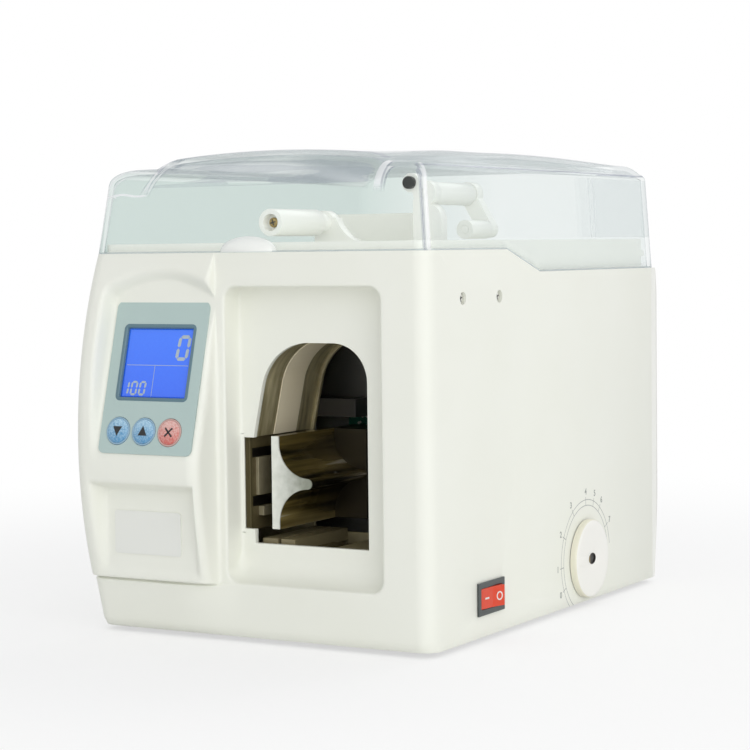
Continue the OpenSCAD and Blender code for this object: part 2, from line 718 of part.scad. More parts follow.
module dial_potentiometer() color("darkgray") in_frame() {
    bar_x(dial_y, dial_z, half_w - wall - 10, half_w - wall, 9);
    bar_x(dial_y, dial_z, half_w - wall, half_w - 0.2, 3.8);
    bar_x(dial_y, dial_z, half_w - wall, half_w + knob_out - 1.8, shaft_r);
    block(half_w - wall - 9, half_w - wall - 6, dial_y - 8, dial_y + 8, dial_z - 14, dial_z);
}

module mains_inlet() color("black") in_frame() difference() {
    block(inlet_x - inlet_w / 2 + 0.2, inlet_x + inlet_w / 2 - 0.2, body_d - 14, body_d + 2,
        inlet_z0 + 0.2, inlet_z0 + inlet_h - 0.2);
    block(inlet_x - inlet_w / 2 + 3, inlet_x + inlet_w / 2 - 3, body_d - 8, body_d + 3,
        inlet_z0 + 3, inlet_z0 + inlet_h - 3);
}

// ---------- side plates and arch guides ----------

module side_plate(y, margin) difference() {
    block(-half_w + 12, half_w - 20, y, y + plate_t, base_top, deck_z);
    slab_y(y - 1, y + plate_t + 1) {
        arch_outline(margin);
        children();
    }
    bar_y(feed_x, feed_z, y - 1, y + plate_t + 1, shaft_r + run_gap);
    bar_y(feed_x, pinch_z, y - 1, y + plate_t + 1, shaft_r + run_gap);
    bar_y(cam_x, cam_z, y - 1, y + plate_t + 1, shaft_r + run_gap);
}

module front_side_plate() color("darkgray") in_frame() side_plate(front_plate_y, 1.5)
    translate([slot_x0 + 2.7, opening_z0 + 4]) square([10, 48]);

module rear_side_plate() color("darkgray") in_frame() side_plate(rear_plate_y, 0);

// One length of the arch-shaped tunnel that the tape is pushed round.
module arch_guide(y0, y1, margin) slab_y(y0, y1) difference() {
    arch_outline(margin + arch_t);
    arch_outline(margin);
    translate([-60, 0]) square([120, jaw_top]);
}

module front_arch_guide() color("darkkhaki") in_frame() arch_guide(arch_y0, liner_y0, 1.5);

module arch_liner() color("antiquewhite") in_frame() arch_guide(liner_y0, rear_arch_y0, 1.2);

module rear_arch_guide() color("darkkhaki") in_frame() arch_guide(rear_arch_y0, rear_plate_y, 1.5);

// The fixed face that the notes are pressed against.
module stop_plate() color("darkgoldenrod") in_frame() {
    block(slot_x0 + 0.3, slot_x0 + 2.5, arch_y0, rear_plate_y, jaw_z0 - 1, jaw_top);
    // thin raised plate on its middle, and a small block under it
    block(slot_x0 + 2.5, slot_x0 + 4.1, arch_y0 + 3, arch_y0 + 14, jaw_mid - 6.5, jaw_mid + 11.5);
    block(slot_x0 + 2.5, slot_x0 + 5.5, arch_y0 + 5, arch_y0 + 14, jaw_mid - 16.5, jaw_mid - 12);
}

// ---------- clamp ----------

// The jaw's outline: an upright plate whose back flares into a narrow web.
module jaw_outline() {
    web = 2.5;
    flare = 16;
    reach = 18;
    translate([jaw_x, jaw_z0]) square([jaw_t, jaw_h]);
    translate([jaw_x, jaw_mid - web]) square([jaw_t + reach - web, 2 * web]);
    translate([jaw_x + jaw_t + reach - web, jaw_mid]) circle(r = web);
    difference() {
        translate([jaw_x + 1, jaw_mid - web - flare]) square([jaw_t - 1 + flare, 2 * (web + flare)]);
        for (s = [-1, 1]) translate([jaw_x + jaw_t + flare, jaw_mid + s * (web + flare)]) circle(r = flare);
    }
}

module clamp_jaw() color("lightgray") in_frame() difference() {
    slab_y(jaw_y0, carriage_y0) jaw_outline();
    bar_z(jaw_x + jaw_t + 13, jaw_y0 + 30, jaw_mid - 4, jaw_mid + 4, 1.6);
}

module jaw_pad() color("gray") in_frame()
    block(jaw_x - 1.8, jaw_x, jaw_y0 + 3, rear_plate_y - 1, jaw_z0 + 1, jaw_z0 + jaw_h - 1);

module clamp_carriage() color("darkslategray") in_frame() difference() {
    block(jaw_x, jaw_x + carriage_w, carriage_y0, carriage_y0 + carriage_d, jaw_z0, jaw_z0 + jaw_h);
    for (s = [-1, 1]) bar_x(rod_y, jaw_mid + s * rod_dz, jaw_x - 1, jaw_x + carriage_w + 1, rod_r + run_gap);
    bar_x(rod_y, jaw_mid, jaw_x - 1, jaw_x + carriage_w + 1, screw_r + run_gap);
}

module guide_rods() color("silver") in_frame() for (s = [-1, 1])
    bar_x(rod_y, jaw_mid + s * rod_dz, bracket_left_x, bracket_right_x + bracket_t, rod_r);

module rod_brackets() color("silver") in_frame() for (x = [bracket_left_x, bracket_right_x]) difference() {
    union() {
        block(x, x + bracket_t, plate_back, carriage_y0 + carriage_d, jaw_z0, jaw_z0 + jaw_h);
        block(x, x + bracket_t + 6, plate_back, plate_back + 2, jaw_z0, jaw_z0 + jaw_h);
    }
    for (s = [-1, 1]) bar_x(rod_y, jaw_mid + s * rod_dz, x - 1, x + bracket_t + 1, rod_r);
    bar_x(rod_y, jaw_mid, x - 1, x + bracket_t + 1, 3 + run_gap);
}

module clamp_screw() color("silver") in_frame() {
    bar_x(rod_y, jaw_mid, bracket_left_x + bracket_t + 0.2, bracket_right_x - 0.2, screw_r);
    bar_x(rod_y, jaw_mid, bracket_left_x - 4, bracket_right_x + bracket_t + 1, 3);
}

module clamp_motor() color("dimgray") in_frame() difference() {
    union() {
        bar_x(rod_y, jaw_mid, bracket_left_x - clamp_motor_len, bracket_left_x, clamp_motor_r);
        bar_x(rod_y, jaw_mid, bracket_left_x - clamp_motor_len - 3, bracket_left_x - clamp_motor_len, 5);
    }
    bar_x(rod_y, jaw_mid, bracket_left_x - 6, bracket_left_x + 1, 3 + run_gap);
}

// ---------- sensors behind the opening ----------

module inner_brace() color("darkslategray") in_frame() difference() {
    block(-half_w + 12, half_w - 20, carriage_y0 + carriage_d + 6, carriage_y0 + carriage_d + 8,
        base_top, deck_z);
    block(motor_x - motor_r - 1, motor_x + motor_r + 1, carriage_y0 + carriage_d,
        carriage_y0 + carriage_d + 12, base_top - 1, motor_z + motor_r + 1);
}

module sensor_block() color("black") in_frame()
    block(-15, 14, plate_back, plate_back + 16, jaw_top + 6, jaw_top + 15);

module sensor_board() color("darkgreen") in_frame()
    block(-8, 32, carriage_y0 + carriage_d + 4, carriage_y0 + carriage_d + 6, jaw_top - 7, jaw_top + 12);

// ---------- feed, sealing and cutting ----------

module feed_roller() color("dimgray") in_frame() {
    bar_y(feed_x, feed_z, front_plate_y + 0.2, pulley_y + pulley_w, shaft_r);
    bar_y(feed_x, feed_z, arch_y0 + 2, rear_plate_y - 2, feed_r);
    bar_y(feed_x, feed_z, pulley_y, pulley_y + pulley_w, pulley_r);
    for (y = [pulley_y - 1, pulley_y + pulley_w]) bar_y(feed_x, feed_z, y, y + 1, pulley_r + 1.5);
}

module pinch_roller() color("gray") in_frame() {
    bar_y(feed_x, pinch_z, front_plate_y + 0.2, plate_back + 1.5, shaft_r);
    bar_y(feed_x, pinch_z, arch_y0 + 3, rear_plate_y - 3, pinch_r);
}

module motor_pulley() color("silver") in_frame() {
    bar_y(motor_x, motor_z, pulley_y, pulley_y + pulley_w, pulley_r);
    for (y = [pulley_y - 1, pulley_y + pulley_w]) bar_y(motor_x, motor_z, y, y + 1, pulley_r + 1.5);
    bar_y(motor_x, motor_z, pulley_y - 2, pulley_y + pulley_w + 10, 2);
}

module feed_belt() color("black") in_frame() slab_y(pulley_y + 1, pulley_y + pulley_w - 1) difference() {
    union() {
        translate([motor_x, motor_z - pulley_r - 1.3]) square([feed_x - motor_x, 2 * pulley_r + 2.6]);
        for (x = [motor_x, feed_x]) translate([x, feed_z]) circle(r = pulley_r + 1.3);
    }
    union() {
        translate([motor_x, motor_z - pulley_r - 0.3]) square([feed_x - motor_x, 2 * pulley_r + 0.6]);
        for (x = [motor_x, feed_x]) translate([x, feed_z]) circle(r = pulley_r + 0.3);
    }
}

module feed_motor() color("dimgray") in_frame() difference() {
    union() {
        bar_y(motor_x, motor_z, pulley_y + pulley_w + 3, carriage_y0 + carriage_d + 22, motor_r);
        block(motor_x - 12, motor_x + 12, pulley_y + pulley_w + 3, carriage_y0 + carriage_d + 20,
            base_top, motor_z - 8);
    }
    bar_y(motor_x, motor_z, pulley_y + pulley_w + 2, pulley_y + pulley_w + 11, 2 + run_gap);
}

module tape_channel() color("antiquewhite") in_frame() {
    // floor of the tape path, in two lengths with the cutter between them
    block(opening_x1 - 60.8, opening_x1 - 52.4, arch_y0, rear_plate_y, opening_z0 - 4, opening_z0 + 2);
    block(opening_x1 - 50.7, opening_x1 - 43, arch_y0, rear_plate_y, opening_z0 - 4, opening_z0 + 2);
    block(cam_x + 10, feed_x - pinch_r - 5, arch_y0, rear_plate_y, opening_z0 - 4, opening_z0 - 1);
}

module sealing_head() color("silver") in_frame() union() {
    block(cam_x - 9, cam_x + 9, arch_y0 + 2, rear_plate_y - 16, opening_z0 - 7, opening_z0 - 3);
    block(cam_x - 3, cam_x + 3, arch_y0 + 6, rear_plate_y - 22, head_z, opening_z0 - 7);
}

module cutter_blade() color("lightgray") in_frame()
    block(opening_x1 - 52.1, opening_x1 - 51, arch_y0 + 1, rear_plate_y - 1, base_top + 8, opening_z0 - 2);

module camshaft() color("silver") in_frame() {
    bar_y(cam_x, cam_z, front_plate_y + 0.2, pulley_y, shaft_r);
    bar_y(cam_x, cam_z, arch_y0 + 8, arch_y0 + 20, cam_r);
}

// ---------- guides under the lid ----------

module guide_bracket() color("white") in_frame() {
    y0 = guide_y0 + guide_len + collar_len + 0.3;
    slab_y(y0, y0 + 6) {
        translate([guide_x, guide_z]) circle(r = guide_r - 0.5);
        translate([guide_x - 5, deck_top + 1]) square([10, guide_z - deck_top - 1]);
        translate([guide_x, deck_top + 1]) square([38, 5]);
        difference() {
            translate([guide_x, deck_top + 1]) square([26, 17]);
            translate([guide_x + 26, deck_top + 25]) circle(r = 20);
        }
    }
    bar_y(guide_x, guide_z, y0 - collar_len, y0, guide_r - 1.8);
    bar_y(guide_x, guide_z, guide_y0 + 4.2, y0, 2);
}

module guide_roller() color("white") in_frame() difference() {
    bar_y(guide_x, guide_z, guide_y0, guide_y0 + guide_len, guide_r);
    bar_y(guide_x, guide_z, guide_y0 - 1, guide_y0 + guide_len + 1, 2 + run_gap);
    bar_y(guide_x, guide_z, guide_y0 - 1, guide_y0 + 4.5, 4);
}

// The guide roller's screw, which sits deep in the hollow of the roller's front end.
module guide_screw() color("goldenrod") in_frame() bar_y(guide_x, guide_z, guide_y0 + 2, guide_y0 + 4.2, 2.4);

module tall_bracket() color("white") in_frame() difference() {
    union() {
        slab_y(post_y, post_y + 6) {
            translate([post_x - post_r, deck_top]) square([2 * post_r, axle_z - 12.5 - deck_top]);
            translate([post_x, axle_z - 12.5]) circle(r = post_r);
            translate([post_x - post_r, axle_z - 13]) square([post_r, 10]);
            translate([axle_x, axle_z]) circle(r = 6);
            translate(stop_at) circle(r = stop_r + 1.5);
        }
        block(post_x - 8, post_x + 8, post_y, post_y + 14, deck_top, deck_top + 3);
        bar_y(axle_x, axle_z, post_y + 3, arm_y + arm_t + 1, 2.5);
    }
    // hollow in front of the axle, as for a screw
    bar_y(axle_x, axle_z, post_y - 1, post_y + 2, 2.2);
}

module rubber_stop() color("dimgray") in_frame() bar_y(stop_at[0], stop_at[1], post_y - 2.5, post_y, stop_r);

module tall_roller() color("white") in_frame() difference() {
    bar_y(axle_x, axle_z, post_y + 6.3, arm_y - 0.3, 5.5);
    bar_y(axle_x, axle_z, post_y + 5, arm_y + 1, 2.5 + run_gap);
}

module tension_arm() color("white") in_frame() {
    slab_y(arm_y, arm_y + arm_t) difference() {
        union() {
            translate([axle_x, axle_z]) circle(r = 6);
            translate([axle_x, axle_z]) rotate(-arm_drop) translate([0, -4]) square([arm_reach, 8]);
            translate([arm_tip_x, arm_tip_z]) circle(r = 4);
        }
        translate([axle_x, axle_z]) circle(r = 2.5 + run_gap);
    }
    bar_y(arm_tip_x, arm_tip_z, arm_y - 22, arm_y, 2);
}

module tension_roller() color("white") in_frame() difference() {
    bar_y(arm_tip_x, arm_tip_z, arm_y - 22, arm_y - 0.3, 4.5);
    bar_y(arm_tip_x, arm_tip_z, arm_y - 23, arm_y, 2 + run_gap);
}

// ---------- power ----------

module transformer() color("dimgray") in_frame() union() {
    block(transformer_x - core_w / 2, transformer_x + core_w / 2, transformer_y - 20, transformer_y + 20,
        base_top, base_top + 51.5);
    block(transformer_x - winding_w / 2, transformer_x + winding_w / 2, transformer_y - 28,
        transformer_y + 28, base_top + 8, base_top + 43.5);
}

module power_board() color("darkgreen") in_frame() {
    block(power_x0, power_x1, power_y0, power_y1, power_z, power_z + power_t);
    for (x = [power_x0 + 5, power_x1 - 5], y = [power_y0 + 5, power_y1 - 5])
        bar_z(x, y, base_top, power_z, 2.5);
    // three capacitors in a row and a heat sink
    for (i = [0:2]) bar_z(power_x0 + 12 + i * 14, power_y0 + 22, power_z + power_t, power_z + 19, 5.5);
    block(power_x0 + 20, power_x0 + 54, power_y1 - 44, power_y1 - 18, power_z + power_t, power_z + 21);
}

base_plate();
feet();
foot_screws();
housing();
rear_cover();
rear_screws();
side_screws();
top_deck();
roll_well();
lid();
hinge_pins();
panel_overlay();
display_window();
display_module();
control_board();
button_down();
button_up();
button_clear();
switch_bezel();
power_rocker();
setting_knob();
dial_potentiometer();
mains_inlet();
label_plate();
front_side_plate();
rear_side_plate();
front_arch_guide();
arch_liner();
rear_arch_guide();
stop_plate();
clamp_jaw();
jaw_pad();
clamp_carriage();
guide_rods();
rod_brackets();
clamp_screw();
clamp_motor();
sensor_block();
sensor_board();
feed_roller();
pinch_roller();
motor_pulley();
feed_belt();
feed_motor();
tape_channel();
sealing_head();
cutter_blade();
camshaft();
guide_roller();
guide_bracket();
guide_screw();
tall_bracket();
rubber_stop();
tall_roller();
tension_arm();
tension_roller();
roll_hub();
transformer();
power_board();
inner_brace();
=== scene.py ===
"""Looks of the tabletop banknote strapping machine: moulded body, console, clear lid, clamp and tape guides.

Lengths in the modelling code are millimetres from the middle of the flat front face at table height, and at()
turns them into the row's frame in metres. Each function makes one piece or one finish.
"""
import json
import math

import bmesh
import bpy
from mathutils import Matrix, Vector


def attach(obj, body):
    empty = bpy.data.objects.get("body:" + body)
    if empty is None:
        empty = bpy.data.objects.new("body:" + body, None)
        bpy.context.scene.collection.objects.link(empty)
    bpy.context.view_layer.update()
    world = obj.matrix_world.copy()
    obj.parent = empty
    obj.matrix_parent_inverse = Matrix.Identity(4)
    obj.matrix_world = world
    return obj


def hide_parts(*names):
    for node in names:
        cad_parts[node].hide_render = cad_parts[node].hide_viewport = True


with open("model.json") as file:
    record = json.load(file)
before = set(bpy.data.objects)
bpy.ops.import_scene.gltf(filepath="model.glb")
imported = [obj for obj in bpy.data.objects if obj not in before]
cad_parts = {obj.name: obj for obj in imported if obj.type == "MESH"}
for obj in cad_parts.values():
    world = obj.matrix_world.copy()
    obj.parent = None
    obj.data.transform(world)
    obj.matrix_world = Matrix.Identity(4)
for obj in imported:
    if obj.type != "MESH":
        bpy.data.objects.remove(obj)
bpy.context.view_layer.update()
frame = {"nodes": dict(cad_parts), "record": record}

# the row's origin, and the body's main lengths
X_MID, Y_MID = 2.25, 124.95
HALF_W = 92.0
FRONT_H, REAR_H, FOOT_H = 182.5, 171.5, 2.5
FALL_START, FALL_END = 79.0, 115.0
REAR_EDGE, BODY_D, SIDE_START = 255.0, 258.0, 10.0
CONSOLE_REACH, CONSOLE_EDGE, LEDGE_Z = 18.9, -21.0, 27.0
PANEL_X, PANEL_Z, PANEL_TILT = -50.0, 124.0, math.radians(15)
OVERLAY_T = 0.8
PANEL_Y = -CONSOLE_REACH + OVERLAY_T * math.cos(PANEL_TILT) + 36.75 * math.sin(PANEL_TILT)
LCD_V = 7.2
BUTTON_US, BUTTON_V, BUTTON_R = (-16.2, -1.5, 13.2), -26.0, 6.6
BUTTON_Z = PANEL_Z + BUTTON_V * math.cos(PANEL_TILT)
RECESS = (-16.2, 67.2, 28.0, 166.5)
RECESS_DEPTH, RECESS_R = 13.0, 6.0
DIAL_Y, DIAL_Z = 167.0, 24.4
SCALE_ANGLES = (206, 183, 153, 122, 90, 71, 55, 29)
SCALE_R, SCALE_INNER_R, TICK_R, DIGIT_R = 29.9, 27.0, 29.2, 34.0
SWITCH_Y, SWITCH_Z = 58.2, 20.4
SIDE_SCREWS = ((33.5, 160.5), (70.6, 160.5))
GUIDE_SCREW = (-7.0, 30.0, 196.5)
CORNER_R, WALL = 8.0, 2.4


def at(x, y, z):
    """A point of the machine, in the row's frame."""
    return Vector(((x - X_MID) * 0.001, (y - Y_MID) * 0.001, z * 0.001))


def clamp(t, low=0.0, high=1.0):
    return max(low, min(high, t))


def ease(a, b, t):
    """Rises smoothly from 0 at a to 1 at b."""
    s = clamp((t - a) / (b - a))
    return s * s * (3 - 2 * s)


def soft_min(a, b, k):
    """The lesser of two heights, with the corner between them rounded."""
    h = clamp(0.5 + (b - a) / (2 * k))
    return b + (a - b) * h - k * h * (1 - h)


def soft_max(a, b, k):
    return -soft_min(-a, -b, k)


def panel_matrix():
    """Takes points on the sloping panel (across, up the slope, out) into the row's frame."""
    turn = Matrix.Rotation(math.pi / 2 - PANEL_TILT, 4, "X")
    place = Matrix.Translation(at(PANEL_X, PANEL_Y, PANEL_Z))
    return place @ turn @ Matrix.Scale(0.001, 4)


# ---------- finishes ----------


class Socket:
    """A number that varies over a surface, for sums written as Python expressions."""

    def __init__(self, finish, link):
        self.finish, self.link = finish, link

    def sum(self, operation, other, turned=False):
        """Adds a Math node on this number and another."""
        pair = (other, self) if turned else (self, other)
        return self.finish.node("ShaderNodeMath", {"operation": operation}, dict(enumerate(pair)))

    def __add__(self, other):
        return self.sum("ADD", other)

    __radd__ = __add__

    def __sub__(self, other):
        return self.sum("SUBTRACT", other)

    def __rsub__(self, other):
        return self.sum("SUBTRACT", other, turned=True)

    def __mul__(self, other):
        return self.sum("MULTIPLY", other)

    __rmul__ = __mul__

    def __pow__(self, other):
        return self.sum("POWER", other)

    def abs(self):
        return self.sum("ABSOLUTE", 0.0)

    def min(self, other):
        return self.sum("MINIMUM", other)

    def max(self, other):
        return self.sum("MAXIMUM", other)

    def sine(self):
        return self.sum("SINE", 0.0)

    def clamped(self):
        return self.max(0.0).min(1.0)

    def less(self, other):
        return self.sum("LESS_THAN", other)

    def more(self, other):
        return self.sum("GREATER_THAN", other)


class Finish:
    """A procedural material on Object coordinates, in millimetres of the machine."""

    def __init__(self, name, rough=0.4, metallic=0.0, coat=0.0, ior=1.5):
        self.material = bpy.data.materials.new(name)
        self.material.use_nodes = True
        self.nodes, self.links = self.material.node_tree.nodes, self.material.node_tree.links
        self.nodes.clear()
        self.output = self.nodes.new("ShaderNodeOutputMaterial")
        self.shader = self.nodes.new("ShaderNodeBsdfPrincipled")
        self.links.new(self.shader.outputs[0], self.output.inputs[0])
        for key, value in (("Roughness", rough), ("Metallic", metallic), ("Coat Weight", coat), ("IOR", ior)):
            self.shader.inputs[key].default_value = value
        self.coords = self.nodes.new("ShaderNodeTexCoord").outputs["Object"]

    def node(self, kind, settings=None, sockets=None, out=0):
        """Adds a node of a kind, with its settings and what feeds its sockets, and gives one of its outputs."""
        made = self.nodes.new(kind)
        for key, value in (settings or {}).items():
            if key == "stops":
                while len(made.color_ramp.elements) < len(value):
                    made.color_ramp.elements.new(0.5)
                for stop, (where, colour) in zip(made.color_ramp.elements, value):
                    stop.position, stop.color = where, colour
            else:
                setattr(made, key, value)
        for key, value in (sockets or {}).items():
            if isinstance(value, Socket):
                self.links.new(value.link, made.inputs[key])
            elif isinstance(value, bpy.types.NodeSocket):
                self.links.new(value, made.inputs[key])
            else:
                made.inputs[key].default_value = value
        return Socket(self, made.outputs[out])

    def axis(self, name):
        """One coordinate of the machine in millimetres: "X" across, "Y" back from the front face, "Z" up."""
        parts = self.node("ShaderNodeSeparateXYZ", None, {0: self.coords}, name)
        return parts * 1000.0 + {"X": X_MID, "Y": Y_MID, "Z": 0.0}[name]

    def noise(self, size_mm, detail=3.0, rough=0.5, stretch=None):
        """Noise between 0 and 1 whose blobs are about size_mm across."""
        coords = self.coords
        if stretch:
            coords = self.node("ShaderNodeMapping", {"vector_type": "POINT"}, {0: coords, "Scale": stretch})
        sockets = {"Vector": coords, "Scale": 1000.0 / size_mm, "Detail": detail, "Roughness": rough}
        return self.node("ShaderNodeTexNoise", None, sockets, "Fac")

    def ramp(self, value, start, end, low=0.0, high=1.0):
        """Goes from low to high as the value goes from start to end, and no further."""
        return self.node("ShaderNodeMapRange", None, {0: value, 1: start, 2: end, 3: low, 4: high})

    def mix(self, factor, a, b):
        """Colour a where factor is 0 and b where it is 1."""
        return self.node("ShaderNodeMix", {"data_type": "RGBA"}, {0: factor, 6: a, 7: b}, 2)

    def set(self, socket, value):
        if isinstance(value, Socket):
            self.links.new(value.link, self.shader.inputs[socket])
        else:
            self.shader.inputs[socket].default_value = value
        return self

    def blend(self, factor, a, b):
        """Shader a where factor is 0 and b where it is 1."""
        return self.node("ShaderNodeMixShader", None, {0: factor, 1: a, 2: b})

    def show(self, shader):
        """Sends a shader to the output in place of the plain one."""
        self.links.new(shader.link, self.output.inputs[0])
        return self

    def bump(self, height, depth_mm, strength=1.0):
        bumped = self.node("ShaderNodeBump", None,
                           {"Height": height, "Distance": depth_mm * 0.001, "Strength": strength}, "Normal")
        return self.set("Normal", bumped)


def rgb(r, g, b):
    """A display colour from 0 to 255, as the linear colour that nodes take."""
    lin = [(c / 255 / 12.92) if c / 255 <= 0.04045 else ((c / 255 + 0.055) / 1.055) ** 2.4 for c in (r, g, b)]
    return (*lin, 1.0)


def moulded(name, colour, shade, rough=0.42, grain_mm=0.35, depth_mm=0.012):
    """Fine-grained moulded plastic: faint clouding, a spark-eroded grain and a satin sheen."""
    f = Finish(name, rough=rough)
    cloud = f.noise(38, 2.0)
    grain = f.noise(grain_mm, 2.0)
    f.set("Base Color", f.mix(cloud, colour, shade))
    f.set("Roughness", rough - 0.05 + cloud * 0.06 + grain * 0.04)
    return f.bump(grain, depth_mm, 0.5)


def body_shell_finish():
    """Warm white moulding, with the setting scale printed on the right side."""
    f = Finish("moulded body white", rough=0.4)
    x, y, z = (f.axis(a) for a in "XYZ")
    cloud = f.noise(45, 2.0)
    grain = f.noise(0.4, 2.0)
    plain = f.mix(cloud, rgb(240, 241, 232), rgb(236, 237, 226))
    dy, dz = y - DIAL_Y, z - DIAL_Z
    reach = (dy * dy + dz * dz) ** 0.5
    ring = lambda radius, half: (reach - radius).abs().less(half)
    turn = f.node("ShaderNodeMath", {"operation": "ARCTAN2"}, {0: dz, 1: dy})
    # the rings run from the lower left over the top and fade out low on the right
    bare = turn.more(math.radians(-118)) * turn.less(math.radians(8))
    marks = ring(SCALE_R, 0.2).max(ring(SCALE_INNER_R, 0.2)) * (1.0 - bare)
    for angle in SCALE_ANGLES:
        c, n = math.cos(math.radians(angle)), math.sin(math.radians(angle))
        tick = (dy * n - dz * c).abs().less(0.22) * (dy * c + dz * n - TICK_R).abs().less(2.2)
        marks = marks.max(tick)
    f.set("Base Color", f.mix(marks * x.more(HALF_W - 0.2), plain, rgb(168, 170, 166)))
    f.set("Roughness", 0.36 + cloud * 0.07 + grain * 0.04)
    return f.bump(grain, 0.01, 0.5)


def clear_plastic(name, least, face, edge, folds=True):
    """Clear tinted plastic: nearly invisible face on, darker and glossier where it is seen edge on, and with
    folds set, painted highlights and reflection lines along the folds.
    """
    f = Finish(name, rough=0.05, ior=1.45)
    cloud = f.noise(60, 1.0)
    x, y, z = (f.axis(a) for a in "XYZ")
    facing = f.node("ShaderNodeLayerWeight", None, {"Blend": 0.5}, "Facing")
    colour = f.mix((facing ** 2.5).min(1.0), face, edge)
    cover = (facing ** 4.0) * 0.9 + least
    thin, tinted = (f.node("ShaderNodeBsdfTransparent", None, {0: tint})
                    for tint in (rgb(253, 254, 253.5), rgb(234, 240, 238)))
    clear = thin
    if folds:
        # the bottom rim and the thicker rear part of the right wall show more of the tint
        seam = f.ramp(y, FALL_START, FALL_END, FRONT_H, REAR_H)
        flank = x.more(86.0) * z.more(188.0) * z.less(218.5)
        step_y = 184.0
        thicker = y.more(167.0) * 0.06 + y.more(step_y) * 0.05 + (y - step_y).abs().less(0.5) * 0.2
        cover = cover + flank * (0.02 + thicker)
        # painted highlights (pale lines) where light would catch the folds of the raised middle and the upright
        # front corners, with painted lilac reflection lines beside them and painted grey reflection wisps across
        # the front
        front = y.less(26.0) * f.ramp(z, 208.5, 213.0)
        corner = y.less(14.0)
        right_wall = x.more(80.0)
        left = (x + 64.0 - (z - 209.0) * 0.5).abs()
        pale = left.less(0.9) * front * z.less(228.0)
        pale = pale.max((x - 64.6).abs().less(1.7) * front * z.less(229.0))
        pale = pale.max((z - 210.2 + (x * 0.35).sine() * 0.5).abs().less(0.45) * x.less(-63.0) * corner)
        pale = pale.max((y - x - HALF_W).abs().less(1.1) * x.less(-80.0))
        pale = pale.max((x + y - 95.0).abs().less(1.0) * right_wall * corner)
        painted_fold_reflection = (x - 67.1).abs().less(0.6) * front
        painted_fold_reflection = painted_fold_reflection.max((x + y - 92.2).abs().less(0.8) * right_wall * corner)
        painted_fold_reflection = painted_fold_reflection.max((left - 1.7).abs().less(0.4) * front * x.less(0.0) * z.less(228.0) * 0.7)
        painted_fold_reflection = painted_fold_reflection.max((z - 220.8).abs().less(0.35) * right_wall * y.more(12.0))
        painted_reflection_wisps = f.noise(9, 2.0, 0.5, (0.1, 1.0, 1.4)).more(0.54) * front * z.more(213.5) * x.abs().less(60.0)
        shine = f.mix(pale, colour, rgb(250, 250, 252))
        colour = f.mix(painted_fold_reflection.max(painted_reflection_wisps * 0.8), shine, rgb(142, 148, 166))
        cover = cover + pale * 0.5 + painted_fold_reflection * 0.4 + painted_reflection_wisps * 0.22
        cover = cover.max((z - seam).less(0.8) * 0.5)
        # the tint is deeper at the rear and on the left, where only what lies behind the machine shows through
        deep = x.less(-86.0).max(y.more(250.0) * f.ramp(x, -HALF_W, 0.0, 1.0, 0.0))
        clear = f.blend(deep, thin, tinted)
    f.set("Base Color", colour)
    f.set("Roughness", 0.05 + cloud * 0.05)
    # lamps and the studio's soft light pass straight through to what stands under the lid
    shadow, diffuse = (f.node("ShaderNodeLightPath", out=ray) for ray in ("Is Shadow Ray", "Is Diffuse Ray"))
    return f.show(f.blend(cover * (1.0 - shadow.max(diffuse)), clear, f.shader.outputs[0]))


def stop_plate_finish():
    """Oiled brown plate with painted shade in its two hollows and a paler thin plate between them."""
    f = Finish("oiled brown plate", rough=0.4, metallic=0.3)
    x, z = f.axis("X"), f.axis("Z")
    tone = f.noise(7, 3.0)
    # painted shade: the two hollows are coloured near black
    painted_hollow_shade = (z - 87.6).abs().less(2.2).max((z - 64.4).abs().less(2.4)) * x.less(-13.0)
    plate = f.mix(tone, rgb(112, 102, 72), rgb(78, 70, 46))
    raised = f.mix(tone, rgb(168, 160, 132), rgb(134, 126, 100))
    f.set("Base Color", f.mix(painted_hollow_shade, f.mix(x.more(-13.0), plate, raised), rgb(14, 12, 9)))
    f.set("Roughness", 0.32 + tone * 0.12)
    return f.bump(tone, 0.02, 0.4)


def rolled_steel():
    """Oiled brown steel with fine lines along its length, darker on the plate round the opening."""
    f = Finish("oiled rolled steel", rough=0.3, metallic=0.35)
    y = f.axis("Y")
    lines = f.noise(6.0, 3.0, 0.6, (20.0, 1.0, 20.0))
    bands = f.noise(4.0, 3.0, 0.6, (0.15, 1.0, 0.15))
    inside = f.mix((bands * 2.0 - 0.5).clamped(), rgb(206, 196, 158), rgb(118, 108, 76))
    f.set("Base Color", f.mix(y.less(17.95), inside, rgb(92, 84, 56)))
    f.set("Roughness", 0.22 + lines * 0.16 + bands * 0.08)
    return f.bump(lines, 0.01, 0.6)


def polished_steel():
    """Polished steel: the jaw's front end with painted shade darkening it towards the web, its faces olive brown
    with painted reflections and highlights in streaks from near black to near white.
    """
    f = Finish("polished steel", rough=0.2, metallic=0.8)
    x, y = f.axis("X"), f.axis("Y")
    lines = f.noise(6.0, 3.0, 0.6, (1.0, 24.0, 1.0))
    streaks = f.noise(9.0, 3.0, 0.5, (1.0, 0.05, 1.0))
    # painted reflections and highlights on the faces: the steel's olive brown tone streaked with near black and
    # near white
    stops = [(0.4, rgb(26, 24, 16)), (0.5, rgb(122, 106, 58)),
             (0.6, rgb(170, 152, 96)), (0.66, rgb(248, 244, 222))]
    painted_face_reflections = f.node("ShaderNodeValToRGB", {"stops": stops}, {0: streaks}, "Color")
    # painted shade on the front end: paler at its left edge, darker in blotches towards the web
    along = f.ramp(x, -2.0, 16.0)
    bright = f.mix((along + f.noise(5, 3.0) * 0.8 - 0.4).clamped(), rgb(240, 242, 234), rgb(146, 150, 136))
    end = y.less(19.2)
    f.set("Base Color", f.mix(end, painted_face_reflections, bright))
    f.set("Metallic", 0.55 - end * 0.2)
    f.set("Roughness", 0.12 + lines * 0.16)
    return f.bump(lines, 0.01, 0.6)


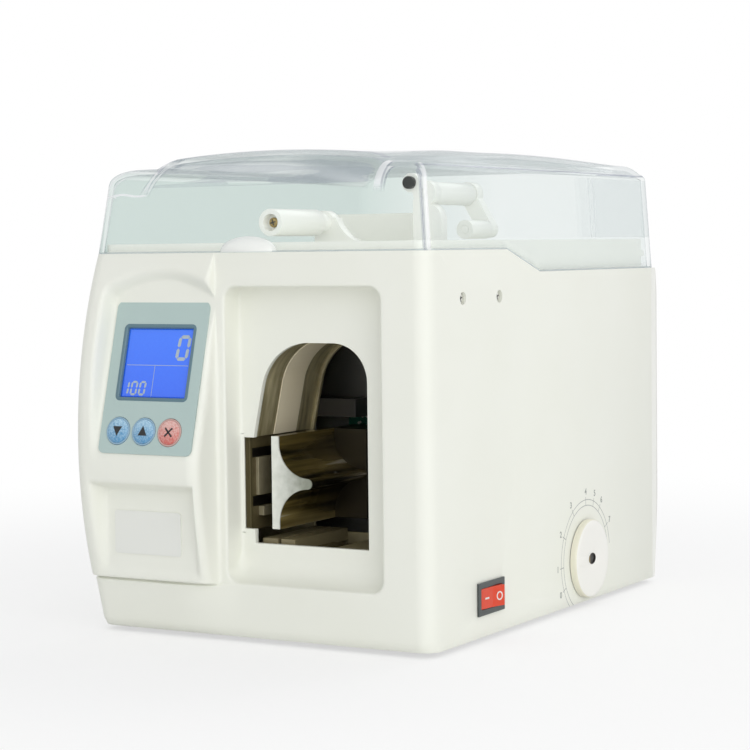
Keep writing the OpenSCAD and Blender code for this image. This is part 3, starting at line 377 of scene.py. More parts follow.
def knob_plastic():
    """White plastic with painted shade: yellower on the knob's outer wall and near black in the hole at its
    middle, where painted light turns the hole's front side brown.
    """
    f = Finish("knob white", rough=0.36)
    x, dy, dz = f.axis("X"), f.axis("Y") - DIAL_Y, f.axis("Z") - DIAL_Z
    cloud, grain = f.noise(38, 2.0), f.noise(0.35, 2.0)
    white = f.mix(cloud, rgb(244, 243, 238), rgb(240, 238, 231))
    # painted shade: the outer wall is yellower
    wall = x.less(HALF_W + 3.6) * (dy * dy + dz * dz).more(19.0 ** 2)
    # painted shade in the hole, near black, with painted light turning its front side brown
    hole = (dy * dy * 0.39 + dz * dz).less(2.9 ** 2) * x.less(HALF_W + 3.5)
    inner = f.mix((dy * 0.5 + 1.2).clamped(), rgb(150, 130, 80), rgb(12, 9, 4))
    f.set("Base Color", f.mix(hole, f.mix(wall, white, rgb(232, 229, 210)), inner))
    f.set("Roughness", 0.3 + grain * 0.08)
    return f.bump(grain, 0.012, 0.5)


def guide_nylon():
    """Beige nylon, olive brown below 60 mm height, on the floor of the tape path."""
    f = Finish("beige nylon", rough=0.35)
    z = f.axis("Z")
    cloud, grain = f.noise(30, 2.0), f.noise(0.35, 2.0)
    upper_beige = f.mix(cloud, rgb(250, 240, 214), rgb(238, 227, 198))
    # darker, olive brown, below 60 mm height
    f.set("Base Color", f.mix(z.less(60.0), upper_beige, f.mix(cloud, rgb(150, 140, 108), rgb(116, 106, 76))))
    f.set("Roughness", 0.32 + grain * 0.05)
    return f.bump(grain, 0.012, 0.5)


def metal(name, colour, shade, rough=0.3, grain=(1.0, 30.0, 30.0), depth_mm=0.01, metallic=1.0):
    """Metal with fine lines along one axis and slow changes of tone."""
    f = Finish(name, rough=rough, metallic=metallic)
    lines = f.noise(6.0, 3.0, 0.6, grain)
    tone = f.noise(22, 3.0)
    f.set("Base Color", f.mix(tone, colour, shade))
    f.set("Roughness", rough - 0.08 + lines * 0.16 + tone * 0.08)
    return f.bump(lines, depth_mm, 0.6)


def circuit_board(name):
    """Green solder mask with fine tracks and tinned pads."""
    f = Finish(name, rough=0.35, coat=0.3)
    x, z = f.axis("X"), f.axis("Z")
    wave = f.noise(9, 1.0)
    waves = f.node("ShaderNodeMath", {"operation": "PINGPONG"}, {0: x + z * 0.5 + wave * 9.0, 1: 0.9})
    tracks = waves.less(0.3)
    dots = f.node("ShaderNodeTexVoronoi", None, {"Vector": f.coords, "Scale": 280.0}, "Distance").less(0.22)
    green = f.mix(tracks, rgb(22, 92, 74), rgb(34, 120, 92))
    f.set("Base Color", f.mix(dots, green, rgb(196, 196, 190)))
    f.set("Roughness", 0.3 + wave * 0.1)
    return f.bump(tracks.max(dots), 0.03, 0.5)


def rubber(name, colour, shade):
    f = Finish(name, rough=0.7)
    grain = f.noise(0.8, 3.0)
    f.set("Base Color", f.mix(f.noise(9, 3.0), colour, shade))
    f.set("Roughness", 0.6 + grain * 0.2)
    return f.bump(grain, 0.03, 0.6)


def dotted_button(name, colour, light):
    """Glossy cap with a fine dot screen under its surface and a pale rim, with painted light above its middle
    and painted shade below.
    """
    f = Finish(name, rough=0.22, coat=0.4)
    dots = f.node("ShaderNodeTexVoronoi", {"voronoi_dimensions": "3D"}, {"Vector": f.coords, "Scale": 1300.0},
                  "Distance")
    cloud = f.noise(5, 2.0)
    # painted light and shade: the cap is paler above its middle height and darker below it
    low = (BUTTON_Z - f.axis("Z")) * 0.07
    f.set("Base Color", f.mix((dots * 0.8 + 0.22 + low).clamped(), light, colour))
    f.set("Roughness", 0.2 + cloud * 0.08)
    return f.bump(dots, 0.004, 0.3)


def panel_film():
    f = Finish("panel film grey green", rough=0.38)
    cloud, grain = f.noise(30, 2.0), f.noise(0.5, 2.0)
    f.set("Base Color", f.mix(cloud, rgb(182, 201, 197), rgb(175, 195, 191)))
    f.set("Roughness", 0.34 + grain * 0.08)
    return f.bump(grain, 0.008, 0.5)


def lit_display():
    """Blue back-lit display, a little brighter near its upper edge."""
    f = Finish("lit blue display", rough=0.15, coat=0.5)
    z = f.axis("Z")
    glow = f.ramp(z, 112.0, 150.0)
    cells = f.noise(1.2, 2.0)
    blue = f.mix(glow * 0.6 + cells * 0.2, rgb(38, 92, 222), rgb(58, 120, 236))
    f.set("Base Color", blue)
    f.set("Emission Color", blue)
    f.set("Emission Strength", 0.3)
    return f.set("Roughness", 0.12 + cells * 0.06)


def display_ink(name, colour, glow):
    f = Finish(name, rough=0.3)
    cells = f.noise(1.0, 2.0)
    tone = f.mix(cells, colour, tuple(c * 0.9 for c in colour[:3]) + (1.0,))
    f.set("Base Color", tone)
    f.set("Emission Color", tone)
    f.set("Emission Strength", glow)
    return f.set("Roughness", 0.28 + cells * 0.05)


FINISHES = {
    "body_shell": body_shell_finish(),
    "back_cover": moulded("moulded cover white", rgb(240, 240, 235), rgb(235, 235, 229)),
    "deck": moulded("moulded deck white", rgb(251, 251, 245), rgb(247, 247, 240), 0.45),
    "well": moulded("moulded well grey", rgb(224, 224, 220), rgb(216, 216, 212), 0.45),
    "clear_lid": clear_plastic("clear lid plastic", 0.018, rgb(206, 217, 217), rgb(150, 161, 171)),
    "plain_steel": metal("turned steel", rgb(196, 197, 198), rgb(176, 177, 178), 0.3),
    "zinc_steel": metal("zinc plated steel", rgb(198, 198, 192), rgb(180, 181, 178), 0.38),
    "bronzed_steel": rolled_steel(),
    "bright_steel": polished_steel(),
    "blade_steel": metal("ground blade steel", rgb(170, 171, 174), rgb(140, 141, 144), 0.28),
    "brass": metal("turned brass", rgb(196, 172, 116), rgb(150, 126, 76), 0.3),
    "foot_rubber": rubber("foot rubber", rgb(44, 44, 44), rgb(36, 36, 36)),
    "belt_rubber": rubber("belt rubber", rgb(34, 34, 34), rgb(27, 27, 27)),
    "roller_rubber": rubber("roller rubber", rgb(92, 92, 94), rgb(78, 78, 80)),
    "panel_film": panel_film(),
    "display_frame": moulded("display frame slate", rgb(98, 128, 140), rgb(86, 116, 128), 0.28),
    "display": lit_display(),
    "green_board": circuit_board("green circuit board"),
    "blue_button": dotted_button("blue button cap", rgb(84, 146, 190), rgb(182, 216, 234)),
    "red_button": dotted_button("red button cap", rgb(204, 104, 94), rgb(232, 200, 192)),
    "switch_body": moulded("switch body grey", rgb(70, 76, 76), rgb(62, 68, 68), 0.38),
    "rocker_red": moulded("rocker red", rgb(226, 68, 30), rgb(212, 58, 26), 0.25, 0.6, 0.004),
    "knob_white": knob_plastic(),
    "black_plastic": moulded("black plastic", rgb(36, 34, 31), rgb(29, 27, 25), 0.4),
    "label_plastic": moulded("bare label film", rgb(234, 235, 229), rgb(230, 231, 225), 0.4),
    "beige_nylon": guide_nylon(),
    "pad_rubber": rubber("grey pad", rgb(172, 170, 154), rgb(150, 148, 132)),
    "brown_plastic": stop_plate_finish(),
    "white_acetal": moulded("white acetal", rgb(252, 252, 247), rgb(248, 248, 242), 0.32),
    "black_anodised": metal("black anodised block", rgb(62, 57, 44), rgb(46, 42, 32), 0.3, metallic=0.5),
    "motor_steel": metal("blackened motor can", rgb(64, 64, 66), rgb(48, 48, 50), 0.35),
    "laminated_iron": metal("laminated iron", rgb(104, 104, 104), rgb(78, 78, 78), 0.45, (40.0, 1.0, 1.0)),
}
# painted highlight: the rims are coloured pale where light catches the raised ring round each cap
RIMS = {"blue_button": moulded("pale blue rim", rgb(150, 182, 202), rgb(132, 166, 190), 0.25),
        "red_button": moulded("pale pink rim", rgb(206, 170, 162), rgb(190, 150, 144), 0.25)}
TAB = clear_plastic("frosted finger tab", 0.7, rgb(252, 252, 249), rgb(226, 228, 226), folds=False)
# black print for the key marks, and painted shade for the screw heads' cross recesses
BLACK_PRINT_AND_SHADE = display_ink("black key mark and screw recess shade", rgb(26, 28, 30), 0.0)
INK_DIGIT = display_ink("pale display digit", rgb(166, 180, 188), 0.15)
INK_WHITE = display_ink("white rocker mark", rgb(238, 236, 232), 0.0)
INK_SCALE = display_ink("grey scale print", rgb(150, 152, 148), 0.0)


# ---------- making pieces ----------


def piece(name, bm, finish, body, replaces=(), smooth=40.0, weld=True):
    """Turns a bmesh drawn in the row's frame into a finished piece that rides on a body."""
    if weld:
        bmesh.ops.remove_doubles(bm, verts=bm.verts, dist=1e-6)
    bm.normal_update()
    for f in bm.faces:
        f.smooth = True
    limit = math.radians(smooth)
    for e in bm.edges:
        if len(e.link_faces) == 2 and e.calc_face_angle(0.0) > limit:
            e.smooth = False
    mesh = bpy.data.meshes.new(name)
    bm.to_mesh(mesh)
    bm.free()
    mesh.materials.append(finish.material)
    made = bpy.data.objects.new(name, mesh)
    bpy.context.scene.collection.objects.link(made)
    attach(made, body)
    if replaces:
        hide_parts(*replaces)
    return made


def thicken(made):
    """Gives an open shell its wall, towards the inside."""
    solid = made.modifiers.new("wall", "SOLIDIFY")
    solid.thickness, solid.offset = WALL * 0.001, -1.0


def round_edges(made, width_mm, limit):
    """Rounds every edge sharper than a limit in degrees."""
    edge = made.modifiers.new("edge", "BEVEL")
    edge.width, edge.segments = width_mm * 0.001, 2
    edge.limit_method, edge.angle_limit = "ANGLE", math.radians(limit)


def extend(bm, edges, move):
    """Extrudes a loop of edges and puts each new vertex where move(old place) says. Returns the new edges."""
    made = bmesh.ops.extrude_edge_only(bm, edges=edges)["geom"]
    verts = [v for v in made if isinstance(v, bmesh.types.BMVert)]
    for v in verts:
        v.co = move(v.co.copy())
    return [e for e in made if isinstance(e, bmesh.types.BMEdge)]


def ring(bm, points):
    """A closed loop of edges through the given points."""
    made = bmesh.ops.create_circle(bm, segments=len(points), radius=1.0)["verts"]
    for v, p in zip(made, points):
        v.co = p
    return list({e for v in made for e in v.link_edges})


def round_points(radius, segments, centre=(0.0, 0.0)):
    """Points of a circle drawn flat, as (across, up)."""
    turns = [math.tau * i / segments for i in range(segments)]
    return [(centre[0] + radius * math.cos(a), centre[1] + radius * math.sin(a)) for a in turns]


def fill(bm, edges, normal):
    """Fills flat loops of edges, holes left open, and returns what it made."""
    return bmesh.ops.triangle_fill(bm, use_beauty=True, use_dissolve=False, edges=edges, normal=normal)["geom"]


def put(bm, matrix):
    """Moves every vertex by a matrix."""
    for v in bm.verts:
        v.co = matrix @ v.co


def put_at(bm):
    """Turns every vertex from the machine's millimetres to the row's frame."""
    for v in bm.verts:
        v.co = at(*v.co)


def step_rings(bm, outlines):
    """Joins outlines of (across, up) points, each at its height, into a band, and returns its last edges."""
    edges, before = None, None
    for points, height in outlines:
        if edges is None:
            edges = ring(bm, [Vector((a, b, height)) for a, b in points])
        else:
            moves = {(round(a, 4), round(b, 4)): q for (a, b), q in zip(before, points)}
            edges = extend(bm, edges, lambda co: Vector((*moves[(round(co.x, 4), round(co.y, 4))], height)))
        before = points
    return edges


# ---------- body shell ----------

CONSOLE_R = (90.0 ** 2 + CONSOLE_REACH ** 2) / (2 * CONSOLE_REACH)


def barrel(z):
    """How far the console's barrel stands out at a height."""
    return math.sqrt(CONSOLE_R ** 2 - (z - 92.5) ** 2) - (CONSOLE_R - CONSOLE_REACH)


def flank(x, full):
    """Height of the console's right flank: a fillet at its foot and a round shoulder."""
    s = CONSOLE_EDGE - x
    r = min(6.0, 0.62 * full)
    foot = min(2.2, 0.3 * full)
    if s <= 0:
        return foot - math.sqrt(max(0.0, foot ** 2 - (s + foot) ** 2)) if s > -foot else 0.0
    if s >= r:
        return full
    return full - r + math.sqrt(r ** 2 - (r - s) ** 2)


def console_height(x, z):
    """How far the front stands out of the flat face at a place."""
    above = ease(LEDGE_Z - 0.9, LEDGE_Z + 1.3, z)
    full = barrel(z) * above
    # chin below the ledge, which fades out to the right
    chin = 7.0 * clamp((z - FOOT_H) / (LEDGE_Z - FOOT_H)) * (1 - ease(-40.0, -8.0, x)) * (1 - above)
    # set-back label zone between two side rims
    inside = min(x + 81.5, -25.0 - x, z - 30.0, 73.5 - z)
    label = full - max(0.0, full - 9.0) * ease(-1.6, 3.4, inside)
    # scoop with an arched upper edge round the sloping panel
    slope = (CONSOLE_REACH - OVERLAY_T * math.cos(PANEL_TILT) - 36.75 * math.sin(PANEL_TILT)
             - (z - PANEL_Z) * math.tan(PANEL_TILT))
    arch = 176.5 - (x + 49.0) ** 2 / 122.0 - z
    side = x + 81.5
    depth = ease(0.0, 11.5, arch) * ease(0.0, 4.2, side)
    scooped = label - (label - soft_min(label, slope, 1.6)) * depth
    return max(min(scooped, flank(x, max(0.3, scooped))), chin, 0.0)


def rounded_rect(x0, x1, z0, z1, r, n=8):
    """Points round a rectangle with round corners, from its upper right corner on."""
    points = []
    corners = ((x1 - r, z1 - r, 0), (x0 + r, z1 - r, 90), (x0 + r, z0 + r, 180), (x1 - r, z0 + r, 270))
    for cx, cz, start in corners:
        for i in range(n + 1):
            a = math.radians(start + 90 * i / n)
            points.append((cx + r * math.cos(a), cz + r * math.sin(a)))
    return points


def dense(points, spacing):
    """Adds points along a closed outline so that none are further apart than a spacing."""
    made = []
    for (ax, az), (bx, bz) in zip(points, points[1:] + points[:1]):
        n = max(1, round(math.hypot(bx - ax, bz - az) / spacing))
        made += [(ax + (bx - ax) * i / n, az + (bz - az) * i / n) for i in range(n)]
    return made


def opening_outline():
    """The note opening: a lopsided arch with a slot at its lower left."""
    x1, z0, top, left_r, right_r, lean = 53.0, 45.4, 140.3, 25.8, 18.0, 12.0
    left, right = (x1 - 31.7, top - left_r), (x1 - right_r, top - right_r)
    points = [(right[0] + right_r * math.cos(math.radians(a)), right[1] + right_r * math.sin(math.radians(a)))
              for a in [90 * i / 14 for i in range(15)]]
    points += [(left[0] + left_r * math.cos(math.radians(a)), left[1] + left_r * math.sin(math.radians(a)))
               for a in [90 + (90 - lean) * i / 16 for i in range(17)]]
    tx, tz = points[-1]
    foot_z = z0 + 50
    points += [(tx - (tz - foot_z) * math.tan(math.radians(lean)), foot_z), (x1 - 68.7, foot_z),
               (x1 - 68.7, z0 + 6.6), (x1 - 61.9, z0 + 6.6), (x1 - 61.9, z0), (x1, z0)]
    return points


def spread(stops):
    """Positions from a list of (start, end, number of steps) stretches that follow each other."""
    made = [stops[0][0]]
    for a, b, n in stops:
        made += [a + (b - a) * (i + 1) / n for i in range(n)]
    return made


def make_housing():
    """Front, sides and recess of the body as one thin moulding."""
    inner_w = HALF_W - CORNER_R
    turns = (90, 78, 66, 54, 42, 30, 18, 8)
    columns = [-inner_w - CORNER_R * math.sin(math.radians(a)) for a in turns]
    columns += spread([(-84.0, -75.0, 9), (-75.0, -28.0, 30), (-28.0, -21.02, 14), (-21.02, -20.98, 1),
                       (-20.98, -18.8, 5), (-18.8, 84.0, 72)])
    columns += [inner_w + CORNER_R * math.sin(math.radians(a)) for a in turns[::-1]]
    rows = spread([(FOOT_H, 25.5, 14), (25.5, 29.0, 8), (29.0, 69.0, 28), (69.0, 75.0, 10), (75.0, 160.0, 56),
                   (160.0, REAR_H, 12), (REAR_H, 180.0, 8), (180.0, FRONT_H, 2)])
    bm = bmesh.new()
    nx, nz = len(columns) - 1, len(rows) - 1
    bmesh.ops.create_grid(bm, x_segments=nx, y_segments=nz, size=1.0)
    for v in bm.verts:
        i, j = round((v.co.x + 1) / 2 * nx), round((v.co.y + 1) / 2 * nz)
        x, z = columns[i], rows[j]
        turned = max(0.0, abs(x) - inner_w) / CORNER_R
        back = CORNER_R * (1 - math.sqrt(max(0.0, 1 - turned ** 2)))
        # the foot of the front and the lower corners draw in a little
        tuck = 1.6 * (1 - ease(FOOT_H, FOOT_H + 5, z)) ** 2
        v.co = Vector((x, back - console_height(x, z) + tuck, z))
    # note recess: cut the face, pull the cut's edge on to the rim and lead it inwards
    x0, x1, z0, z1 = RECESS
    rim = 1.3
    grown = RECESS_R + rim

    def rim_point(co, radius):
        cx, cz = clamp(co.x, x0 + RECESS_R, x1 - RECESS_R), clamp(co.z, z0 + RECESS_R, z1 - RECESS_R)
        away = Vector((co.x - cx, 0, co.z - cz))
        if away.length < 1e-6:
            away = Vector((0, 0, 1))
        return Vector((cx, co.y, cz)) + away.normalized() * radius

    def inside(co):
        cx, cz = clamp(co.x, x0 + RECESS_R, x1 - RECESS_R), clamp(co.z, z0 + RECESS_R, z1 - RECESS_R)
        return math.hypot(co.x - cx, co.z - cz) < grown

    cut = [f for f in bm.faces if inside(f.calc_center_median())]
    outer = {e for e in bm.edges if len(e.link_faces) == 1}
    bmesh.ops.delete(bm, geom=cut, context="FACES")
    hole = [e for e in bm.edges if len(e.link_faces) == 1 and e not in outer]
    for v in {v for e in hole for v in e.verts}:
        v.co = rim_point(v.co, grown)

    def lead(edges, radius, depth):
        """Leads the recess's wall to a depth, its top sinking along an arc as it goes in."""
        fall = RECESS_DEPTH - math.sqrt(max(0.0, RECESS_DEPTH ** 2 - min(depth, RECESS_DEPTH) ** 2))

        def move(co):
            base = Vector((co.x, 0, z1 - (z1 - co.z) * (z1 - z0) / max(1.0, z1 - z0 - lead.fall)))
            flat = rim_point(base, radius)
            return Vector((flat.x, depth, z1 - (z1 - flat.z) * (z1 - z0 - fall) / (z1 - z0)))

        made = extend(bm, edges, move)
        lead.fall = fall
        return made

    lead.fall = 0.0
    edges = hole
    for i in range(1, 5):
        a = math.pi / 2 * i / 4
        edges = lead(edges, grown - rim * math.sin(a), rim * (1 - math.cos(a)))
    for depth in (3.0, 5.0, 7.0, 9.0, 10.6):
        edges = lead(edges, RECESS_R, depth)
    for i in range(1, 5):
        a = math.pi / 2 * i / 4
        edges = lead(edges, RECESS_R - 1.8 * (1 - math.cos(a)), 11.2 + 1.8 * math.sin(a))
    # window and button holes behind the control panel
    lean, up = math.cos(PANEL_TILT), math.sin(PANEL_TILT)

    def behind_panel(co):
        u, v = co.x - PANEL_X, (co.z - PANEL_Z) * lean + (co.y - PANEL_Y) * up
        return ((abs(u) < 20.4 and abs(v - LCD_V) < 18.3)
                or any(math.hypot(u - bu, v - BUTTON_V) < BUTTON_R + 0.4 for bu in BUTTON_US))

    centres = [(f, f.calc_center_median()) for f in bm.faces]
    holes = [f for f, c in centres if c.y < 0 and c.x < CONSOLE_EDGE and behind_panel(c)]
    bmesh.ops.delete(bm, geom=holes, context="FACES")
    # floor of the recess round the arched opening, and the opening's edge
    outline = dense(opening_outline(), 3.0)
    mouth = ring(bm, [Vector((px, RECESS_DEPTH, pz)) for px, pz in outline])
    fill(bm, edges + mouth, (0.0, -1.0, 0.0))
    for deep in (0.7, 2.6):
        mouth = extend(bm, mouth, lambda co: Vector((co.x, RECESS_DEPTH + deep, co.z)))
    # a narrow strip leads each side back, then one flat face runs to the rear edge and up to the seam
    for side in (-1, 1):
        edge = [e for e in bm.edges if len(e.link_faces) == 1
                and all(abs(v.co.x - side * HALF_W) < 1e-4 for v in e.verts)]
        heights = sorted({round(v.co.z, 5) for e in edge for v in e.verts})
        extend(bm, edge, lambda co: Vector((co.x, SIDE_START, co.z)))
        outline = [(SIDE_START, z) for z in heights]
        outline += [(FALL_START, FRONT_H), (FALL_END, REAR_H), (REAR_EDGE, REAR_H), (REAR_EDGE, FOOT_H)]
        loops = ring(bm, [Vector((side * HALF_W, y, z)) for y, z in outline])
        if side > 0:
            loops += ring(bm, [Vector((HALF_W, SWITCH_Y + dy, SWITCH_Z + dz))
                               for dy, dz in rounded_rect(-11.8, 11.8, -6.1, 6.1, 1.0, 3)])
            for place in SIDE_SCREWS:
                rim_edges = ring(bm, [Vector((HALF_W, y, z)) for y, z in round_points(3.0, 32, place)])
                loops += rim_edges
                extend(bm, rim_edges, lambda co: Vector((HALF_W - 2.2, co.y, co.z)))
        fill(bm, loops, (float(side), 0.0, 0.0))
    bmesh.ops.remove_doubles(bm, verts=bm.verts, dist=1e-3)
    put_at(bm)
    bmesh.ops.recalc_face_normals(bm, faces=bm.faces)
    made = piece("body_shell", bm, FINISHES["body_shell"], "body", ["housing"], smooth=50)
    thicken(made)
    round_edges(made, 0.4, 55)
    return made


# ---------- lid ----------


def lid_top(x, y):
    """Height of the lid's outer top at a place: low side shoulders and a raised, gently bowed middle."""
    low = 222.8 - 0.8 * ease(120, 250, y)
    low += 0.5 * (1 - (x / HALF_W) ** 2)
    half = 52 - 6 * ease(28, 110, y) + 28 * ease(120, 245, y)
    high = 230.2 + 1.1 * ease(20, 110, y) - 4.4 * ease(140, 250, y) ** 1.4
    high -= 2.6 * (x / 54) ** 2 * ease(110, 28, y)
    over = clamp(abs(x) - half, 0.0, 15.9)
    high += math.sqrt(16.0 ** 2 - over ** 2) - 16.0
    if abs(x) - half > 15.9:
        high -= (abs(x) - half - 15.9) * 6
    return soft_max(low, high, 0.8)


def make_lid():
    """Clear hinged lid: leaning walls, rounded shoulders and a raised middle."""
    n = 112
    rings = n // 2
    wall_rings, arc_rings, lean = 7, 14, 3.0
    bm = bmesh.new()
    bmesh.ops.create_grid(bm, x_segments=n, y_segments=n, size=1.0)
    half_y = BODY_D / 2

    def on_ring(u, v, half_a, half_b, r):
        """Place on a rounded rectangle of a direction on the unit square, and how far the wall faces back."""
        s = max(abs(u), abs(v))
        px, py = u / s * half_a, v / s * half_b
        ax, ay = abs(px), abs(py)
        nx, ny = (1.0, 0.0) if abs(u) >= abs(v) else (0.0, 1.0)
        if ax > half_a - r and ay > half_b - r:
            turn = (math.pi / 4 * (ay - half_b + r) / r if ax >= half_a - 1e-9
                    else math.pi / 2 - math.pi / 4 * (ax - half_a + r) / r)
            nx, ny = math.cos(turn), math.sin(turn)
            ax, ay = half_a - r + r * nx, half_b - r + r * ny
        return math.copysign(ax, px), math.copysign(ay, py), math.copysign(ny, py)

    def shell(u, v, step):
        """A point of the lid on a ring that lies step rings in from the bottom edge."""
        wall = clamp(step / wall_rings)
        turn = math.pi / 2 * clamp((step - wall_rings) / arc_rings)
        pull = 1 - math.cos(turn)
        back = ease(60, 200, (v / max(abs(u), abs(v)) + 1) * half_y)
        crown = ease(70, 60, abs(u) / max(abs(u), abs(v)) * HALF_W)
        half_a = HALF_W - lean * wall - (6.5 - 3.0 * back) * pull
        half_b = half_y - (lean * wall + (15 + 3 * crown) * pull if v < 0 else wall + 3.5 * pull)
        x, y, ny = on_ring(u, v, half_a, half_b, 8 + 3 * wall if v < 0 else 3)
        front = max(0.0, -ny) ** 2
        rise = 6.5 - 3.0 * back + front * (7.5 + 2 * ease(70, 60, abs(x)))
        if step <= wall_rings:
            seam = above_seam_z(y + half_y)
            return x, y + half_y, seam + (lid_top(x, y + half_y) - rise - seam) * wall
        return x, y + half_y, lid_top(x, y + half_y) - rise * (1 - math.sin(turn))

    for v in bm.verts:
        s = max(abs(v.co.x), abs(v.co.y))
        step = round((1 - s) * rings)
        if step >= rings:
            v.co = Vector((0, half_y, lid_top(0, half_y)))
            continue
        x, y, z = shell(v.co.x, v.co.y, min(step, wall_rings + arc_rings))
        inner = wall_rings + arc_rings
        if step > inner:
            share = (rings - step) / (rings - inner)
            x, y = x * share, half_y + (y - half_y) * share
            z = lid_top(x, y)
        v.co = Vector((x, y, z))
    put_at(bm)
    bmesh.ops.recalc_face_normals(bm, faces=bm.faces)
    if sum(f.normal.z for f in bm.faces) < 0:
        bmesh.ops.reverse_faces(bm, faces=bm.faces)
    made = piece("clear_lid", bm, FINISHES["clear_lid"], "lid", ["lid"], smooth=60)
    thicken(made)
    return made


def above_seam_z(y):
    """Height of the seam between body and lid."""
    fall = clamp((y - FALL_START) / (FALL_END - FALL_START))
    return FRONT_H - (FRONT_H - REAR_H) * fall


# ---------- control panel ----------


def add_slab(bm, points, bottom, top, frame_to_row):
    """Adds a slab with a closed outline, from one height to another above a plane that a matrix places."""
    loop = ring(bm, [Vector((u, v, top)) for u, v in points])
    verts = {v for e in loop for v in e.verts}
    face = fill(bm, loop, (0.0, 0.0, 1.0))
    lower = extend(bm, loop, lambda co: Vector((co.x, co.y, bottom)))
    verts |= {v for e in lower for v in e.verts}
    verts |= {v for f in face if isinstance(f, bmesh.types.BMFace) for v in f.verts}
    for v in verts:
        v.co = frame_to_row @ v.co


def on_circle(radius, height):
    """A move that brings a point straight in or out to a radius about +Z, at a height."""
    return lambda co: Vector((*(Vector((co.x, co.y)).normalized() * radius), height))


def spin_profile(profile, segments=64):
    """A round piece about its own +Z, from a profile of (radius, height) points."""
    bm = bmesh.new()
    edges = None
    for radius, height in profile:
        r = max(radius, 1e-4)
        if edges is None:
            edges = ring(bm, [Vector((a, b, height)) for a, b in round_points(r, segments)])
        else:
            edges = extend(bm, edges, on_circle(r, height))
    return bm


def turned_bar(half_length, half_width, turn):
    """Corners of a bar through the origin, turned by an angle."""
    c, n = math.cos(turn), math.sin(turn)
    return [(c * half_length * a - n * half_width * b, n * half_length * a + c * half_width * b)
            for a, b in ((-1, -1), (1, -1), (1, 1), (-1, 1))]


def segment_digit(u, v, width, height, thick, lit, slant=0.1):
    """Outlines of a seven-segment digit's lit bars, with its lower left corner at (u, v)."""
    half = height / 2
    cells = {"a": (0, height, 1), "g": (0, half, 1), "d": (0, 0, 1), "f": (0, half, 0), "b": (width, half, 0),
             "e": (0, 0, 0), "c": (width, 0, 0)}
    made = []
    for key in lit:
        x, y, flat = cells[key]
        span, h, gap = (width if flat else half), thick / 2, thick * 0.62
        bar = [(gap, -h), (span - gap, -h), (span - gap + h, 0), (span - gap, h), (gap, h), (gap - h, 0)]
        placed = [(x + a, y + b) if flat else (x + b, y + a) for a, b in bar]
        if not flat:
            placed = placed[::-1]
        made.append([(u + px + slant * py, v + py) for px, py in placed])
    return made


def make_display():
    """Slate frame round the display, its pale digits and its two thin dividing lines."""
    panel = panel_matrix()
    half_u, half_v = 20.8, 18.7
    bm = bmesh.new()
    profile = ((0.0, 0.55), (0.15, 0.9), (0.45, 1.05), (1.3, 1.05), (1.7, 0.9), (1.95, 0.5), (2.1, -0.6))
    step_rings(bm, [(rounded_rect(-half_u + inset, half_u - inset, LCD_V - half_v + inset,
                                  LCD_V + half_v - inset, max(0.6, 2.6 - inset), 6), height)
                    for inset, height in profile])
    put(bm, panel)
    bmesh.ops.recalc_face_normals(bm, faces=bm.faces)
    piece("display_frame", bm, FINISHES["display_frame"], "body", ["display_window"], weld=False)
    marks = segment_digit(10.4, 9.4, 5.4, 10.6, 1.7, "abcdef")
    marks += segment_digit(-18.2, -8.0, 2.9, 6.0, 1.0, "bc")
    marks += segment_digit(-13.4, -8.0, 2.9, 6.0, 1.0, "abcdef")
    marks += segment_digit(-8.6, -8.0, 2.9, 6.0, 1.0, "abcdef")
    bm = bmesh.new()
    for points in marks:
        add_slab(bm, points, -0.75, -0.62, panel)
    piece("display_digits", bm, INK_DIGIT, "body", weld=False)
    bm = bmesh.new()
    for u0, u1, v0, v1 in ((-17.6, 17.6, 6.05, 6.3), (-1.4, -1.15, -8.8, 6.05)):
        add_slab(bm, [(u0, v0), (u1, v0), (u1, v1), (u0, v1)], -0.75, -0.66, panel)
    piece("display_lines", bm, INK_DIGIT, "body", weld=False)


def make_button(name, body, node, u, finish, marks):
    """A domed cap in a pale rim, with its raised dark mark."""
    place = panel_matrix() @ Matrix.Translation((u, BUTTON_V, 0))
    bm = spin_profile([(5.75, -1.0), (5.75, 0.95), (5.6, 1.1), (5.0, 1.3), (3.6, 1.58), (1.8, 1.76), (0.0, 1.8)])
    put(bm, place)
    piece(name + "_cap", bm, finish, body, [node], weld=True)
    bm = spin_profile([(BUTTON_R, -1.0), (BUTTON_R, 0.95), (6.5, 1.12), (6.3, 1.2), (6.05, 1.18), (5.85, 1.05),
                       (5.75, 0.8)])
    put(bm, place)
    piece(name + "_rim", bm, RIMS[finish_slot(finish)], body, weld=False)
    bm = bmesh.new()
    for points in marks:
        add_slab(bm, points, 1.4, 1.86, place)
    piece(name + "_mark", bm, BLACK_PRINT_AND_SHADE, body, weld=False)


def finish_slot(finish):
    """Name of the material slot that a finish belongs to."""
    return next(slot for slot, other in FINISHES.items() if other is finish)


def make_buttons():
    up = [(-2.5, -2.0), (2.5, -2.0), (0.0, 2.6)]
    down = [(0.0, -2.6), (2.5, 2.0), (-2.5, 2.0)]
    arm = 2.8
    cross = [turned_bar(arm, 0.42, math.radians(a)) for a in (45, 135)]
    make_button("down", "down_button", "button_down", BUTTON_US[0], FINISHES["blue_button"], [down])
    make_button("up", "up_button", "button_up", BUTTON_US[1], FINISHES["blue_button"], [up])
    make_button("clear", "clear_button", "button_clear", BUTTON_US[2], FINISHES["red_button"], cross)


# ---------- side switch and dial ----------


def side_matrix(y, z, out=0.0):
    """Takes points drawn on the right side (back, up, out) about a place into the row's frame."""
    turn = Matrix(((0, 0, 1, 0), (1, 0, 0, 0), (0, 1, 0, 0), (0, 0, 0, 1)))
    return Matrix.Translation(at(HALF_W + out, y, z)) @ turn @ Matrix.Scale(0.001, 4)


